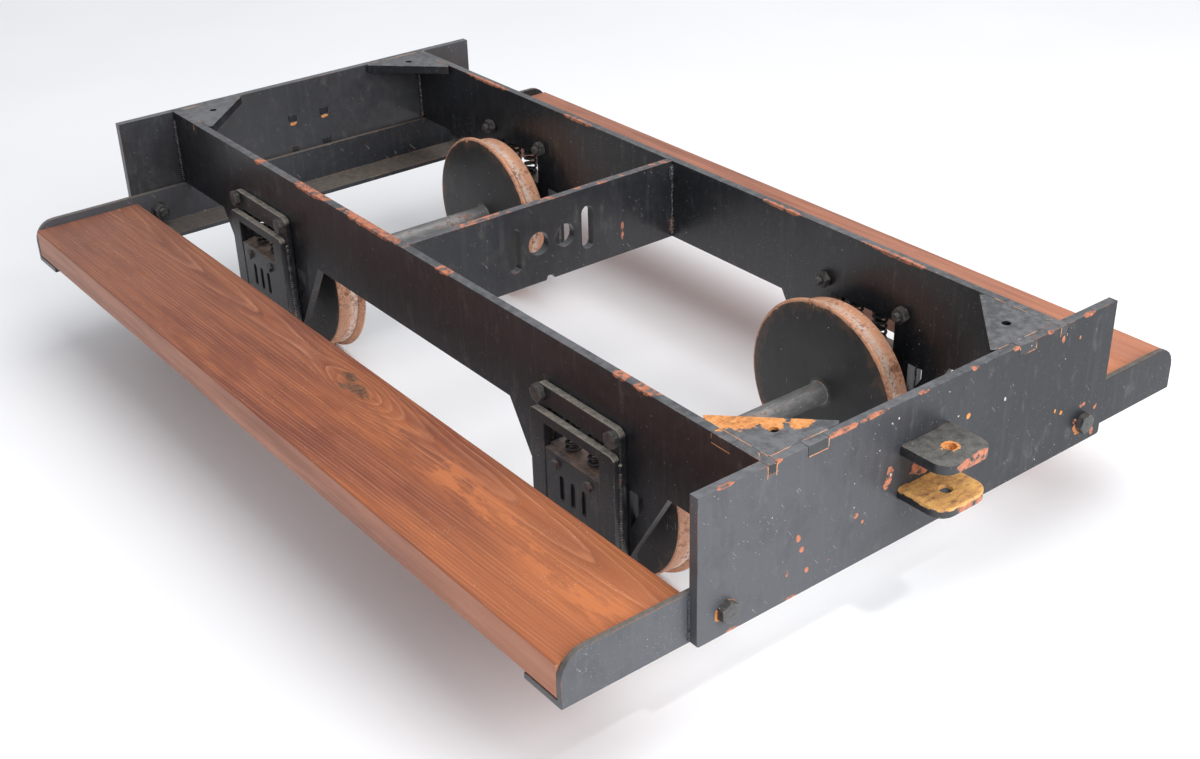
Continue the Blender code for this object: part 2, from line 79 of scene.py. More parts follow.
M12_HEAD, M12_NUT, M12_PITCH = 0.0188, 0.0186, 0.00175
AXLE_R = 0.0125
SPRING_X = 0.193                 # centre line of the springs from the middle of the wagon

SIDES = (("left", -1), ("right", 1))
ENDS = (("front", -1), ("rear", 1))


def add_object(name, data):
    item = bpy.data.objects.new(name, data)
    bpy.context.scene.collection.objects.link(item)
    return item


# ---------------------------------------------------------------- camera
def make_camera():
    """Looks down on the wagon from beyond its front left corner."""
    azimuth, elevation, roll = (math.radians(a) for a in (-37.24, 29.24, -1.55))
    back = Vector((math.sin(azimuth) * math.cos(elevation),
                   -math.cos(azimuth) * math.cos(elevation), math.sin(elevation)))
    right = Vector((0, 0, 1)).cross(back).normalized()
    up = back.cross(right)
    c, s = math.cos(roll), math.sin(roll)
    right, up = right * c + up * s, up * c - right * s
    data = bpy.data.cameras.new("camera")
    data.sensor_width = 36.0
    data.lens = 47.35
    data.clip_start, data.clip_end = 0.05, 60.0
    camera = add_object("camera", data)
    turned = Matrix((right, up, back)).transposed().to_4x4()
    camera.matrix_world = Matrix.Translation((-0.959, -1.355, 0.957)) @ turned
    bpy.context.scene.camera = camera


make_camera()


# ---------------------------------------------------------------- shader helpers
class Shade:
    """A material whose nodes are wired by short calls. Patterns follow the piece's own coordinates."""

    def __init__(self, name):
        self.mat = bpy.data.materials.new(name)
        self.mat.use_nodes = True
        self.nodes = self.mat.node_tree.nodes
        self.nodes.clear()
        out = self.nodes.new("ShaderNodeOutputMaterial")
        self.bsdf = self.nodes.new("ShaderNodeBsdfPrincipled")
        self.link(self.bsdf.outputs[0], out.inputs[0])
        coords = self.nodes.new("ShaderNodeTexCoord")
        self.place = coords.outputs["Object"]
        self.facing = coords.outputs["Normal"]

    def link(self, source, target):
        self.mat.node_tree.links.new(source, target)

    def put(self, target, value):
        if isinstance(value, bpy.types.NodeSocket):
            self.link(value, target)
        elif hasattr(value, "__len__") and len(value) == 3 and target.type == "RGBA":
            target.default_value = (*value, 1.0)
        else:
            target.default_value = value

    def math(self, operation, a, b=0.0, clamp=False):
        node = self.nodes.new("ShaderNodeMath")
        node.operation, node.use_clamp = operation, clamp
        self.put(node.inputs[0], a)
        self.put(node.inputs[1], b)
        return node.outputs[0]

    def add(self, *terms):
        total = terms[0]
        for term in terms[1:]:
            total = self.math("ADD", total, term)
        return total

    def minus(self, a, b):
        return self.math("SUBTRACT", a, b)

    def times(self, a, b):
        return self.math("MULTIPLY", a, b)

    def most(self, a, b):
        return self.math("MAXIMUM", a, b)

    def absolute(self, a):
        return self.math("ABSOLUTE", a)

    def swing(self, pattern, reach):
        """A pattern about 0.5 turned into one about 0."""
        return self.times(self.minus(pattern, 0.5), reach)

    def vector(self, operation, a, b):
        node = self.nodes.new("ShaderNodeVectorMath")
        node.operation = operation
        self.put(node.inputs[0], a)
        self.put(node.inputs[1], b)
        return node.outputs["Value" if operation in ("LENGTH", "DOT_PRODUCT", "DISTANCE") else "Vector"]

    def length(self, vector):
        return self.vector("LENGTH", vector, (0, 0, 0))

    def xyz(self, vector):
        node = self.nodes.new("ShaderNodeSeparateXYZ")
        self.link(vector, node.inputs[0])
        return node.outputs

    def join(self, x, y, z):
        node = self.nodes.new("ShaderNodeCombineXYZ")
        for target, value in zip(node.inputs, (x, y, z)):
            self.put(target, value)
        return node.outputs[0]

    def step(self, value, low, high, to_low=0.0, to_high=1.0):
        node = self.nodes.new("ShaderNodeMapRange")
        node.interpolation_type = "SMOOTHSTEP"
        for target, item in zip(node.inputs, (value, low, high, to_low, to_high)):
            self.put(target, item)
        return node.outputs[0]

    def noise(self, scale, detail=2.0, rough=0.5, vector=None):
        node = self.nodes.new("ShaderNodeTexNoise")
        self.put(node.inputs["Vector"], vector or self.place)
        for key, value in (("Scale", scale), ("Detail", detail), ("Roughness", rough)):
            node.inputs[key].default_value = value
        return node.outputs[0]

    def grain(self, detail, rough, x, y, z, shift=(0, 0, 0)):
        """Noise with its own scale along each axis."""
        return self.noise(1.0, detail, rough, self.stretched(x, y, z, shift))

    def cells(self, scale, vector=None):
        node = self.nodes.new("ShaderNodeTexVoronoi")
        self.put(node.inputs["Vector"], vector or self.place)
        node.inputs["Scale"].default_value = scale
        return node.outputs["Distance"], self.xyz(node.outputs["Color"])

    def stretched(self, x, y, z, shift=(0, 0, 0)):
        return self.vector("ADD", self.vector("MULTIPLY", self.place, (x, y, z)), shift)

    def mix(self, share, a, b):
        node = self.nodes.new("ShaderNodeMix")
        node.data_type = "RGBA"
        self.put(node.inputs[0], share)
        self.put(node.inputs[6], a)
        self.put(node.inputs[7], b)
        return node.outputs[2]

    def ramp(self, value, *stops):
        node = self.nodes.new("ShaderNodeValToRGB")
        self.link(value, node.inputs[0])
        elements = node.color_ramp.elements
        while len(elements) < len(stops):
            elements.new(0.5)
        for element, (place, colour) in zip(elements, stops):
            element.position, element.color = place, (*colour, 1.0)
        return node.outputs[0]

    def edge(self, radius):
        """1 on a sharp edge, falling to 0 at radius from it."""
        bevel = self.nodes.new("ShaderNodeBevel")
        bevel.samples = 2
        bevel.inputs["Radius"].default_value = radius
        geometry = self.nodes.new("ShaderNodeNewGeometry")
        dot = self.vector("DOT_PRODUCT", bevel.outputs[0], geometry.outputs["Normal"])
        return self.math("MULTIPLY", self.minus(1.0, dot), 3.4, clamp=True)

    def specks(self, scale, size, share, vector=None):
        """Scattered dots: one cell in share holds a dot, size in cells."""
        distance, colour = self.cells(scale, vector)
        reach = self.times(colour[1], size)
        dot = self.step(self.minus(reach, distance), 0.0, size * 0.35)
        return self.times(dot, self.math("GREATER_THAN", colour[0], 1.0 - share))

    def blots(self, marks, ragged, vector=None):
        """Soft-sided patches with ragged outlines, from (centre, half sizes)."""
        nearest = 9.0
        for centre, half in marks:
            node = self.nodes.new("ShaderNodeVectorMath")
            node.operation = "MULTIPLY_ADD"
            self.put(node.inputs[0], vector or self.place)
            node.inputs[1].default_value = [1 / h for h in half]
            node.inputs[2].default_value = [-c / h for c, h in zip(centre, half)]
            nearest = self.math("MINIMUM", nearest, self.length(node.outputs[0]))
        return self.step(self.add(self.minus(1.0, nearest), ragged), 0.0, 0.12)

    def finish(self, colour, roughness, height, metallic=0.0, specular=0.5):
        """The material, with height in millimetres."""
        self.put(self.bsdf.inputs["Base Color"], colour)
        self.put(self.bsdf.inputs["Roughness"], roughness)
        self.put(self.bsdf.inputs["Metallic"], metallic)
        self.bsdf.inputs["Specular IOR Level"].default_value = specular
        bump = self.nodes.new("ShaderNodeBump")
        bump.inputs["Strength"].default_value = 1.0
        bump.inputs["Distance"].default_value = 0.001
        self.link(height, bump.inputs["Height"])
        self.link(bump.outputs[0], self.bsdf.inputs["Normal"])
        return self.mat


PRIMER = ((0.25, (0.52, 0.24, 0.16)), (0.40, (0.50, 0.19, 0.11)), (0.50, (0.44, 0.155, 0.085)),
          (0.60, (0.27, 0.13, 0.085)), (0.72, (0.54, 0.32, 0.22)))
GOLD_RUST = ((0.25, (0.11, 0.10, 0.09)), (0.38, (0.36, 0.15, 0.05)), (0.47, (0.62, 0.23, 0.06)),
             (0.58, (0.76, 0.35, 0.11)), (0.68, (0.40, 0.20, 0.09)), (0.80, (0.16, 0.14, 0.12)))
OCHRE_RUST = ((0.25, (0.14, 0.075, 0.04)), (0.38, (0.34, 0.165, 0.070)), (0.50, (0.62, 0.315, 0.10)),
              (0.62, (0.80, 0.47, 0.13)), (0.80, (0.40, 0.16, 0.08)))
PAINT_BLACK = (0.0092, 0.0106, 0.0138)
BROWN_RUST = ((0.3, (0.05, 0.028, 0.02)), (0.5, (0.13, 0.055, 0.03)), (0.7, (0.25, 0.10, 0.05)))


def paint(name, wear=0.10, top_wear=0.0, dust=0.25, grit=0.0, soil=(0.40, 0.35, 0.29), specks=0.06,
          chips=(), rust=(), brown=(), pale=(), rust_hue=GOLD_RUST, haze_and_sheen=0.0, reflection_gradient=False,
          gloss=0.60, rough=0.34):
    """Old satin black paint: dusty, specked, chipped to primer along its edges and rusty in patches, with an
    optional pale haze that is partly painted sheen.
    """
    s = Shade(name)
    big, mid, fine = s.noise(7, 2), s.noise(95, 4, 0.68), s.noise(620, 2, 0.6)
    hue = s.noise(150, 3, 0.62, s.stretched(1, 1, 1, (3.1, 1.7, 0.4)))
    up = s.most(s.xyz(s.facing)[2], 0.0)
    z = s.xyz(s.place)[2]
    edge = s.edge(0.0014)
    ragged = s.swing(mid, 2.2)
    where = s.step(s.noise(16, 3, 0.6), 0.46, 0.62)
    at_edge = s.times(edge, s.add(s.times(where, 0.42), wear))
    score = s.add(s.times(ragged, 0.74), s.times(where, 0.20), at_edge)
    if top_wear:
        crown = s.times(s.step(z, TOP - 0.0022, TOP - 0.0010), s.step(up, 0.2, 0.6))
        score = s.add(score, s.times(crown, top_wear))
    chip = s.step(score, 0.62, 0.67)
    if chips:
        left_over = s.step(s.add(hue, s.times(fine, 0.25)), 0.74, 0.66)
        chip = s.most(chip, s.times(s.blots(chips, s.times(ragged, 0.65)), left_over))
    colour = s.mix(s.step(big, 0.3, 0.7), PAINT_BLACK, tuple(c * 1.5 for c in PAINT_BLACK))
    colour = s.mix(s.times(s.step(mid, 0.45, 0.75), 0.30), colour, (0.050, 0.047, 0.045))
    # streaks run down the faces
    runs = s.grain(3, 0.6, 160, 160, 9)
    colour = s.mix(s.times(s.step(runs, 0.52, 0.75), 0.20), colour, (0.095, 0.093, 0.092))
    smears = s.times(s.step(s.grain(4, 0.70, 60, 60, 26, (8, 1, 2)), 0.56, 0.74), 0.26)
    colour = s.mix(smears, colour, (0.17, 0.165, 0.155))
    soot = s.times(s.step(s.grain(3, 0.65, 34, 34, 24, (2, 7, 5)), 0.50, 0.72), 0.22)
    slanted = s.vector("ADD", s.stretched(420, 420, 60, (5, 4, 9)), s.join(s.times(z, 310), 0.0, 0.0))
    scratch = s.step(s.noise(1.0, 1, 0.5, slanted), 0.715, 0.735)
    scratch = s.times(scratch, s.step(hue, 0.50, 0.58))
    # A pale blue-grey haze over the paint: partly dust, partly painted sheen standing in for reflected light
    # on the faces.
    if haze_and_sheen:
        cover = s.step(big, 0.2, 0.8, 0.8, 1.0)
        # Faded along X, the haze is a painted reflection: strongest at the left end, fading out towards the
        # right end.
        if reflection_gradient:
            cover = s.times(cover, s.step(s.xyz(s.place)[0], -0.30, 0.20))
            cover = s.minus(1.0, cover)
        colour = s.mix(s.times(cover, haze_and_sheen), colour, (0.135, 0.140, 0.155))
    colour = s.mix(soot, colour, tuple(c * 1.1 for c in PAINT_BLACK))
    colour = s.mix(s.times(scratch, 0.35), colour, (0.42, 0.40, 0.37))
    if brown:
        stain = s.blots(brown, s.times(ragged, 1.2), s.vector("ABSOLUTE", s.place, (0, 0, 0)))
        colour = s.mix(stain, colour, s.ramp(hue, *BROWN_RUST))
    powder = s.times(s.times(up, up), s.step(s.add(mid, s.times(big, 0.6)), 0.60, 0.95, 0.35, 1.0))
    colour = s.mix(s.times(powder, dust), colour, (0.225, 0.225, 0.235))
    if grit:
        grains = s.step(s.noise(900, 2, 0.7), 0.40, 0.56, 0.25, 1.0)
        cover = s.times(s.times(s.step(up, 0.15, 0.75), grains), s.step(mid, 0.26, 0.46, 0.5, 1.0))
        earth = s.ramp(hue, (0.35, tuple(c * 0.6 for c in soil)), (0.6, soil))
        colour = s.mix(s.times(cover, grit), colour, earth)
    colour = s.mix(chip, colour, s.ramp(hue, *PRIMER))
    height = s.add(s.times(fine, 0.05), s.times(mid, 0.10), s.times(chip, -0.16), s.times(powder, 0.05))
    if rust:
        patch = s.blots(rust, s.times(ragged, 0.8))
        warped = s.vector("ADD", s.stretched(70, 190, 90), s.join(s.times(mid, 1.5), 0.0, 0.0))
        streak = s.noise(1.0, 5, 0.68, warped)
        gone = s.times(patch, s.step(s.add(streak, s.times(mid, 0.45)), 0.40, 0.60, 0.25, 1.0))
        shade = s.add(s.times(s.noise(210, 5, 0.72), 0.55), s.times(streak, 0.45))
        colour = s.mix(gone, colour, s.ramp(shade, *rust_hue))
        height = s.add(height, s.times(gone, s.times(fine, 0.5)))
        chip = s.most(chip, gone)
    near = s.step(s.noise(13, 2, 0.5, s.stretched(1, 1, 1, (1, 6, 3))), 0.42, 0.66, 0.25, 1.0)
    dots = s.specks(70, 0.065, min(1.0, specks * 4.5))
    small = s.times(s.specks(210, 0.13, min(1.0, specks * 6.0)), near)
    tiny = s.times(s.specks(520, 0.22, min(1.0, specks * 7.0)), near)
    spots = s.most(dots, s.most(s.times(small, 0.8), s.times(tiny, 0.5)))
    if pale:
        spots = s.most(spots, s.blots(pale, s.times(ragged, 0.4)))
    colour = s.mix(s.times(spots, 0.9), colour, (0.60, 0.58, 0.54))
    height = s.add(height, s.times(spots, 0.22))
    matt = s.add(s.times(fine, 0.5), s.times(mid, 0.5), s.times(powder, 0.4))
    roughness = s.step(matt, 0.3, 0.9, rough - 0.05, rough + 0.2)
    roughness = s.most(roughness, s.times(chip, 0.78))
    return s.finish(colour, roughness, height, specular=gloss)


def wheel_disc(name):
    """Dusty black wheel face with scratches, and rust creeping in from the rim."""
    s = Shade(name)
    x, y, z = s.xyz(s.place)
    across = s.minus(s.absolute(y), AXLE_Y)
    radius = s.length(s.join(0.0, across, s.minus(z, AXLE_Z)))
    mid, big, fine = s.noise(70, 5, 0.65), s.noise(12, 3), s.noise(600, 3, 0.6)
    colour = s.mix(s.step(big, 0.35, 0.65), (0.016, 0.016, 0.0175), (0.030, 0.029, 0.029))
    colour = s.mix(s.times(s.step(mid, 0.50, 0.72), 0.4), colour, (0.065, 0.058, 0.050))
    rim = s.step(s.add(radius, s.swing(mid, 0.020)), FLANGE_R - 0.0040, FLANGE_R - 0.0022)
    fringe = s.step(s.add(radius, s.swing(mid, 0.055)), FLANGE_R - 0.016, FLANGE_R - 0.002)
    colour = s.mix(s.times(fringe, 0.75), colour, (0.105, 0.058, 0.038))
    rust = s.ramp(s.noise(120, 4, 0.7), (0.35, (0.20, 0.090, 0.052)), (0.5, (0.46, 0.19, 0.085)),
                  (0.68, (0.64, 0.36, 0.22)))
    colour = s.mix(rim, colour, rust)
    hub = s.step(s.add(radius, s.swing(mid, 0.006)), 0.0190, 0.0145)
    colour = s.mix(s.times(hub, 0.35), colour, (0.20, 0.17, 0.15))
    scratch = s.step(s.grain(2, 0.5, 1, 900, 55, (0, 4, 9)), 0.715, 0.74)
    scratch = s.times(scratch, s.step(s.noise(18, 1), 0.55, 0.62))
    dots = s.most(s.specks(85, 0.075, 0.50), s.times(s.specks(300, 0.20, 0.45), 0.6))
    colour = s.mix(s.most(s.times(scratch, 0.6), s.times(dots, 0.85)), colour, (0.50, 0.47, 0.42))
    height = s.add(s.times(fine, 0.06), s.times(mid, 0.16), s.times(rim, 0.10), s.times(dots, 0.2))
    return s.finish(colour, s.step(s.add(mid, rim), 0.3, 1.3, 0.45, 0.85), height)


def wheel_rim(name):
    """Rusty cast tread and flange, polished where the rail rubs."""
    s = Shade(name)
    x, y, z = s.xyz(s.place)
    across = s.minus(s.absolute(x), WHEEL_LOW.x)
    mid, coarse, fine = s.noise(190, 5, 0.72), s.noise(34, 3, 0.6), s.noise(900, 3, 0.7)
    colour = s.ramp(s.add(s.times(mid, 0.65), s.times(coarse, 0.35)), (0.34, (0.17, 0.072, 0.042)),
                    (0.43, (0.42, 0.190, 0.110)), (0.51, (0.64, 0.350, 0.220)), (0.58, (0.56, 0.220, 0.098)),
                    (0.68, (0.76, 0.550, 0.420)))
    worn = s.times(s.step(across, 0.0085, 0.0115), s.step(across, 0.0230, 0.0140))
    worn = s.times(worn, s.step(s.add(mid, s.times(fine, 0.35)), 0.56, 0.76))
    colour = s.mix(s.times(worn, 0.8), colour, (0.76, 0.69, 0.62))
    line = s.times(s.step(across, 0.0074, 0.0082), s.step(across, 0.0098, 0.0090))
    colour = s.mix(s.times(line, 0.45), colour, (0.10, 0.06, 0.045))
    outer = s.times(s.step(across, 0.0200, 0.0300), s.step(coarse, 0.40, 0.60))
    colour = s.mix(s.times(outer, 0.25), colour, (0.28, 0.150, 0.105))
    # Pale specks on the tread: partly dust, partly painted glints.
    pale = s.times(s.specks(330, 0.26, 0.75), 0.75)
    colour = s.mix(pale, colour, (0.80, 0.72, 0.66))
    height = s.add(s.times(mid, 0.40), s.times(fine, 0.16))
    roughness = s.step(s.add(worn, pale), 0.0, 1.0, 0.60, 0.36)
    return s.finish(colour, roughness, height, metallic=s.times(worn, 0.4))


def axle_look(name):
    """Dusty dark steel with brown rust bands and pale specks."""
    s = Shade(name)
    mid, fine = s.noise(110, 5, 0.65), s.noise(800, 3, 0.6)
    long = s.grain(4, 0.6, 22, 90, 90)
    colour = s.mix(s.step(long, 0.35, 0.7), (0.120, 0.120, 0.122), (0.260, 0.255, 0.250))
    colour = s.mix(s.times(s.step(mid, 0.50, 0.60), s.step(long, 0.46, 0.60)), colour,
                   s.ramp(s.noise(60, 3), (0.4, (0.12, 0.070, 0.050)), (0.6, (0.26, 0.12, 0.075))))
    dots = s.most(s.times(s.specks(150, 0.11, 0.75), 0.9), s.times(s.specks(420, 0.25, 0.60), 0.7))
    colour = s.mix(dots, colour, (0.70, 0.68, 0.64))
    height = s.add(s.times(mid, 0.18), s.times(fine, 0.06), s.times(dots, 0.15))
    return s.finish(colour, s.step(mid, 0.3, 0.7, 0.30, 0.55), height, metallic=0.0, specular=0.8)


def bolt_look(name):
    s = Shade(name)
    mid, fine = s.noise(190, 4, 0.6), s.noise(900, 3, 0.6)
    edge = s.edge(0.0012)
    colour = s.mix(s.step(mid, 0.35, 0.65), (0.030, 0.031, 0.034), (0.075, 0.073, 0.071))
    bare = s.step(s.add(s.swing(mid, 1.8), s.times(edge, 0.42)), 0.46, 0.56)
    metal = s.ramp(s.noise(90, 3), (0.4, (0.30, 0.28, 0.26)), (0.58, (0.28, 0.13, 0.07)))
    colour = s.mix(s.times(bare, 0.8), colour, metal)
    up = s.most(s.xyz(s.facing)[2], 0.0)
    grains = s.times(up, s.step(s.noise(1300, 2), 0.5, 0.62))
    colour = s.mix(s.times(grains, 0.5), colour, (0.26, 0.23, 0.19))
    dots = s.times(s.specks(260, 0.20, 0.16), 0.8)
    colour = s.mix(dots, colour, (0.62, 0.60, 0.56))
    height = s.add(s.times(mid, 0.12), s.times(fine, 0.04))
    return s.finish(colour, s.step(mid, 0.3, 0.7, 0.30, 0.50), height)


def spring_look(name):
    s = Shade(name)
    mid, fine = s.noise(240, 4, 0.6), s.noise(1100, 3, 0.6)
    colour = s.mix(s.step(mid, 0.35, 0.65), (0.012, 0.012, 0.013), (0.035, 0.033, 0.031))
    colour = s.mix(s.times(s.step(mid, 0.60, 0.68), 0.7), colour, (0.16, 0.065, 0.035))
    dots = s.times(s.specks(400, 0.22, 0.12), 0.7)
    colour = s.mix(dots, colour, (0.5, 0.48, 0.44))
    height = s.add(s.times(mid, 0.08), s.times(fine, 0.03))
    return s.finish(colour, s.step(mid, 0.3, 0.7, 0.26, 0.42), height)


def crack_look(name):
    """Cream and orange lines where paint has split over a joint."""
    s = Shade(name)
    hue, fine = s.noise(60, 4, 0.6), s.noise(900, 3, 0.6)
    colour = s.ramp(hue, (0.35, (0.60, 0.47, 0.33)), (0.48, (0.66, 0.30, 0.13)), (0.62, (0.52, 0.22, 0.12)),
                    (0.72, (0.30, 0.15, 0.09)))
    return s.finish(colour, s.step(fine, 0.3, 0.7, 0.6, 0.9), s.times(fine, 0.1))


def wood(name, side, knots, grey, paler=0.0):
    """Red-brown stained softwood, with growth rings about a pith near the board's inner edge."""
    s = Shade(name)
    x, y, z = s.xyz(s.place)
    across = s.times(x, side)
    drift = s.minus(s.noise(1.0, 2, 0.5, s.join(side * 3.7, s.times(y, 2.2), 0.0)), 0.5)
    wave = s.minus(s.grain(3, 0.55, 20, 6, 20, (side, 0, 0)), 0.5)
    jitter = s.minus(s.grain(3, 0.6, 90, 22, 90), 0.5)
    pith = s.add(BOARD_LOW.x + PITH_IN, s.times(drift, 0.016))
    dx, dz = s.minus(across, pith), s.minus(z, BOARD_HIGH.z - 0.028)
    ring = s.length(s.join(dx, 0.0, dz))
    ring = s.add(ring, s.times(wave, 0.0046), s.times(jitter, 0.0008), s.times(y, -0.030))
    core, halo = 0.0, 0.0
    for kx, ky, size, push in knots:
        away = s.join(s.minus(across, kx), s.times(s.minus(y, ky), 0.40), 0.0)
        far = s.length(away)
        swell = s.math("POWER", 2.718, s.times(s.times(far, far), -1.0 / (size * 2.6) ** 2))
        ring = s.add(ring, s.times(swell, push))
        halo = s.most(halo, swell)
        ragged = s.swing(s.grain(4, 0.7, 150, 60, 150), 2.6)
        eye = s.step(s.add(s.minus(1.0, s.times(far, 1.0 / size)), ragged), 0.0, 0.35)
        core = s.most(core, eye)
    flank = s.step(s.absolute(s.xyz(s.facing)[0]), 0.6, 0.85)
    ring = s.add(ring, s.times(flank, s.times(s.minus(z, BOARD_HIGH.z), 1.6)))
    phase = s.times(ring, 1.0 / RING)
    saw = s.math("FRACT", phase)
    late = s.times(s.step(saw, 0.60, 0.74), s.step(saw, 0.92, 0.84))
    deep = s.times(s.step(saw, 0.86, 0.95), s.step(saw, 1.0, 0.98))
    pick = s.noise(1.0, 2, 0.6, s.join(s.times(phase, 0.61), s.times(y, 2.6), side * 2.0))
    strength = s.step(pick, 0.36, 0.62, 0.05, 1.0)
    heart = s.step(s.absolute(dx), 0.036, 0.010)
    fibre = s.grain(4, 0.65, 620, 12, 620)
    coarse = s.grain(3, 0.6, 130, 5, 130)
    blotch = s.grain(3, 0.5, 26, 5, 26)
    tone = s.add(s.times(blotch, 0.6), s.times(coarse, 0.4))
    early = s.ramp(tone, (0.36, (0.190, 0.056, 0.032)), (0.49, (0.275, 0.084, 0.042)),
                   (0.62, (0.375, 0.114, 0.044)))
    pale = s.ramp(tone, (0.34, (0.43, 0.170, 0.102)), (0.66, (0.60, 0.245, 0.120)))
    colour = s.mix(s.times(saw, s.add(0.10, s.times(heart, 0.42))), early, pale)
    colour = s.mix(s.times(late, s.times(strength, 0.74)), colour, pale)
    lines = s.times(deep, s.times(strength, s.add(0.20, s.times(heart, 0.55))))
    colour = s.mix(lines, colour, (0.125, 0.038, 0.024))
    colour = s.mix(s.step(fibre, 0.45, 0.66, 0.0, 0.50), colour, (0.150, 0.048, 0.028))
    # a broad orange streak towards the front, and greyer weathering towards the rear
    sweep = s.minus(s.add(across, s.times(wave, 0.02)), s.add(BOARD_LOW.x + 0.036, s.times(y, -0.055)))
    streak = s.times(s.step(s.absolute(sweep), 0.030, 0.006), s.step(y, -0.08, -0.24))
    torn = s.grain(5, 0.68, 60, 14, 60, (4, 4, 4))
    colour = s.mix(s.times(streak, s.step(torn, 0.46, 0.54, 0.08, 0.66)), colour, (0.60, 0.195, 0.072))
    shade = s.step(s.grain(4, 0.62, 30, 9, 30, (7, 3, 1)), 0.53, 0.63)
    colour = s.mix(s.times(shade, s.step(y, -0.40, -0.05, 0.10, 0.42)), colour, (0.165, 0.044, 0.026))
    colour = s.mix(s.step(y, -0.25, -0.52, 0.0, 0.34), colour, (0.66, 0.215, 0.070))
    weathered = s.step(s.add(y, s.times(blotch, 0.3)), 0.0, 0.70, 0.0, grey)
    colour = s.mix(weathered, colour, (0.235, 0.130, 0.100))
    colour = s.mix(s.times(halo, 0.25), colour, (0.26, 0.078, 0.036))
    bark = s.ramp(s.noise(240, 4, 0.7), (0.4, (0.055, 0.035, 0.026)), (0.6, (0.20, 0.105, 0.062)))
    colour = s.mix(s.times(core, 0.82), colour, bark)
    edge = s.edge(0.0022)
    colour = s.mix(s.times(edge, s.step(coarse, 0.3, 0.7, 0.25, 0.65)), colour, (0.080, 0.032, 0.026))
    if paler:
        colour = s.mix(s.step(coarse, 0.3, 0.7, 0.7 * paler, 1.3 * paler), colour, (0.56, 0.30, 0.225))
    # Side faces are paler: partly their own pinkish tone, partly painted light on the board's sides.
    side_tone_and_painted_light = s.step(s.absolute(s.xyz(s.facing)[2]), 0.6, 0.3)
    colour = s.mix(s.times(side_tone_and_painted_light, s.step(tone, 0.38, 0.62, 0.34, 0.62)), colour, (0.60, 0.325, 0.240))
    cluster = s.step(s.noise(11, 2, 0.5, s.stretched(1, 1, 1, (5, 2, 8))), 0.46, 0.68)
    dots = s.most(s.specks(110, 0.060, 0.45), s.times(s.specks(420, 0.24, 0.85), s.times(cluster, 0.85)))
    colour = s.mix(s.times(dots, 0.80), colour, (0.78, 0.66, 0.56))
    bruise = s.times(s.specks(38, 0.05, 0.14, s.stretched(1, 0.6, 1)), 0.7)
    colour = s.mix(bruise, colour, (0.10, 0.038, 0.026))
    height = s.add(s.times(late, 0.10), s.times(fibre, 0.20), s.times(core, -0.20), s.times(dots, 0.15),
                   s.times(bruise, -0.1))
    roughness = s.step(s.add(fibre, s.times(blotch, 0.4)), 0.3, 1.0, 0.46, 0.66)
    return s.finish(colour, roughness, height, specular=0.26)


def floor_look():
    s = Shade("floor_look")
    haze = s.noise(1.3, 3)
    colour = s.mix(s.step(haze, 0.3, 0.7), (0.915, 0.92, 0.94), (0.945, 0.95, 0.965))
    return s.finish(colour, s.step(haze, 0.3, 0.7, 0.55, 0.7), s.times(s.noise(60, 3), 0.05), specular=0.25)


# ---------------------------------------------------------------- mesh helpers
def clean(mesh, near):
    """Joins points nearer than that, and turns the faces outward."""
    bm = bmesh.new()
    bm.from_mesh(mesh)
    bmesh.ops.remove_doubles(bm, verts=bm.verts, dist=near)
    bmesh.ops.recalc_face_normals(bm, faces=bm.faces)
    bm.to_mesh(mesh)
    bm.free()


def piece(name, verts, faces, looks, body="chassis", slot=None, nodes=(), smooth=35, indices=None):
    """A finished mesh piece that rides on a body."""
    mesh = bpy.data.meshes.new(name)
    mesh.from_pydata([tuple(v) for v in verts], [], faces)
    for look in looks if isinstance(looks, (list, tuple)) else [looks]:
        mesh.materials.append(look)
    if indices:
        mesh.polygons.foreach_set("material_index", indices)
    clean(mesh, 1e-7)
    mesh.shade_smooth()
    mesh.set_sharp_from_angle(angle=math.radians(smooth))
    item = add_object(name, mesh)
    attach(item, body)
    if nodes:
        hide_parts(*nodes)
    return item


def skin(node, look, width=0.0007, body="chassis"):
    """The shape of a CAD node with rolled edges, in place of it."""
    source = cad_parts[node].data
    mesh = bpy.data.meshes.new("skin_" + node)
    mesh.from_pydata([v.co[:] for v in source.vertices], [], [tuple(p.vertices) for p in source.polygons])
    clean(mesh, 2e-6)
    mesh.materials.append(look)
    mesh.shade_smooth()
    item = add_object("skin_" + node, mesh)
    bevel = item.modifiers.new("edges", "BEVEL")
    bevel.width, bevel.segments = width, 2
    bevel.limit_method, bevel.angle_limit = "ANGLE", math.radians(28)
    bevel.use_clamp_overlap = False
    weighted = item.modifiers.new("normals", "WEIGHTED_NORMAL")
    weighted.keep_sharp = True
    weighted.weight = 100
    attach(item, body)
    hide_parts(node)


def tube(rings):
    """Faces round a stack of rings, with both ends closed."""
    count, size = len(rings), len(rings[0])
    verts = [v for ring in rings for v in ring]
    faces = [(k * size + i, k * size + (i + 1) % size, (k + 1) * size + (i + 1) % size, (k + 1) * size + i)
             for k in range(count - 1) for i in range(size)]
    faces.append(tuple(reversed(range(size))))
    faces.append(tuple((count - 1) * size + i for i in range(size)))
    return verts, faces


def merge(*parts):
    verts, faces = [], []
    for part_verts, part_faces in parts:
        start = len(verts)
        verts += part_verts
        faces += [tuple(i + start for i in face) for face in part_faces]
    return verts, faces


def basis(axis):
    """Two directions square to an axis."""
    axis = Vector(axis).normalized()
    upward = abs(axis.z) > 0.9
    side = (axis.orthogonal() if upward else Vector((0, 0, 1)).cross(axis)).normalized()
    return side, axis.cross(side)


def hex_radius(angle, flats):
    return flats / 2 / math.cos((angle % (math.pi / 3)) - math.pi / 6)


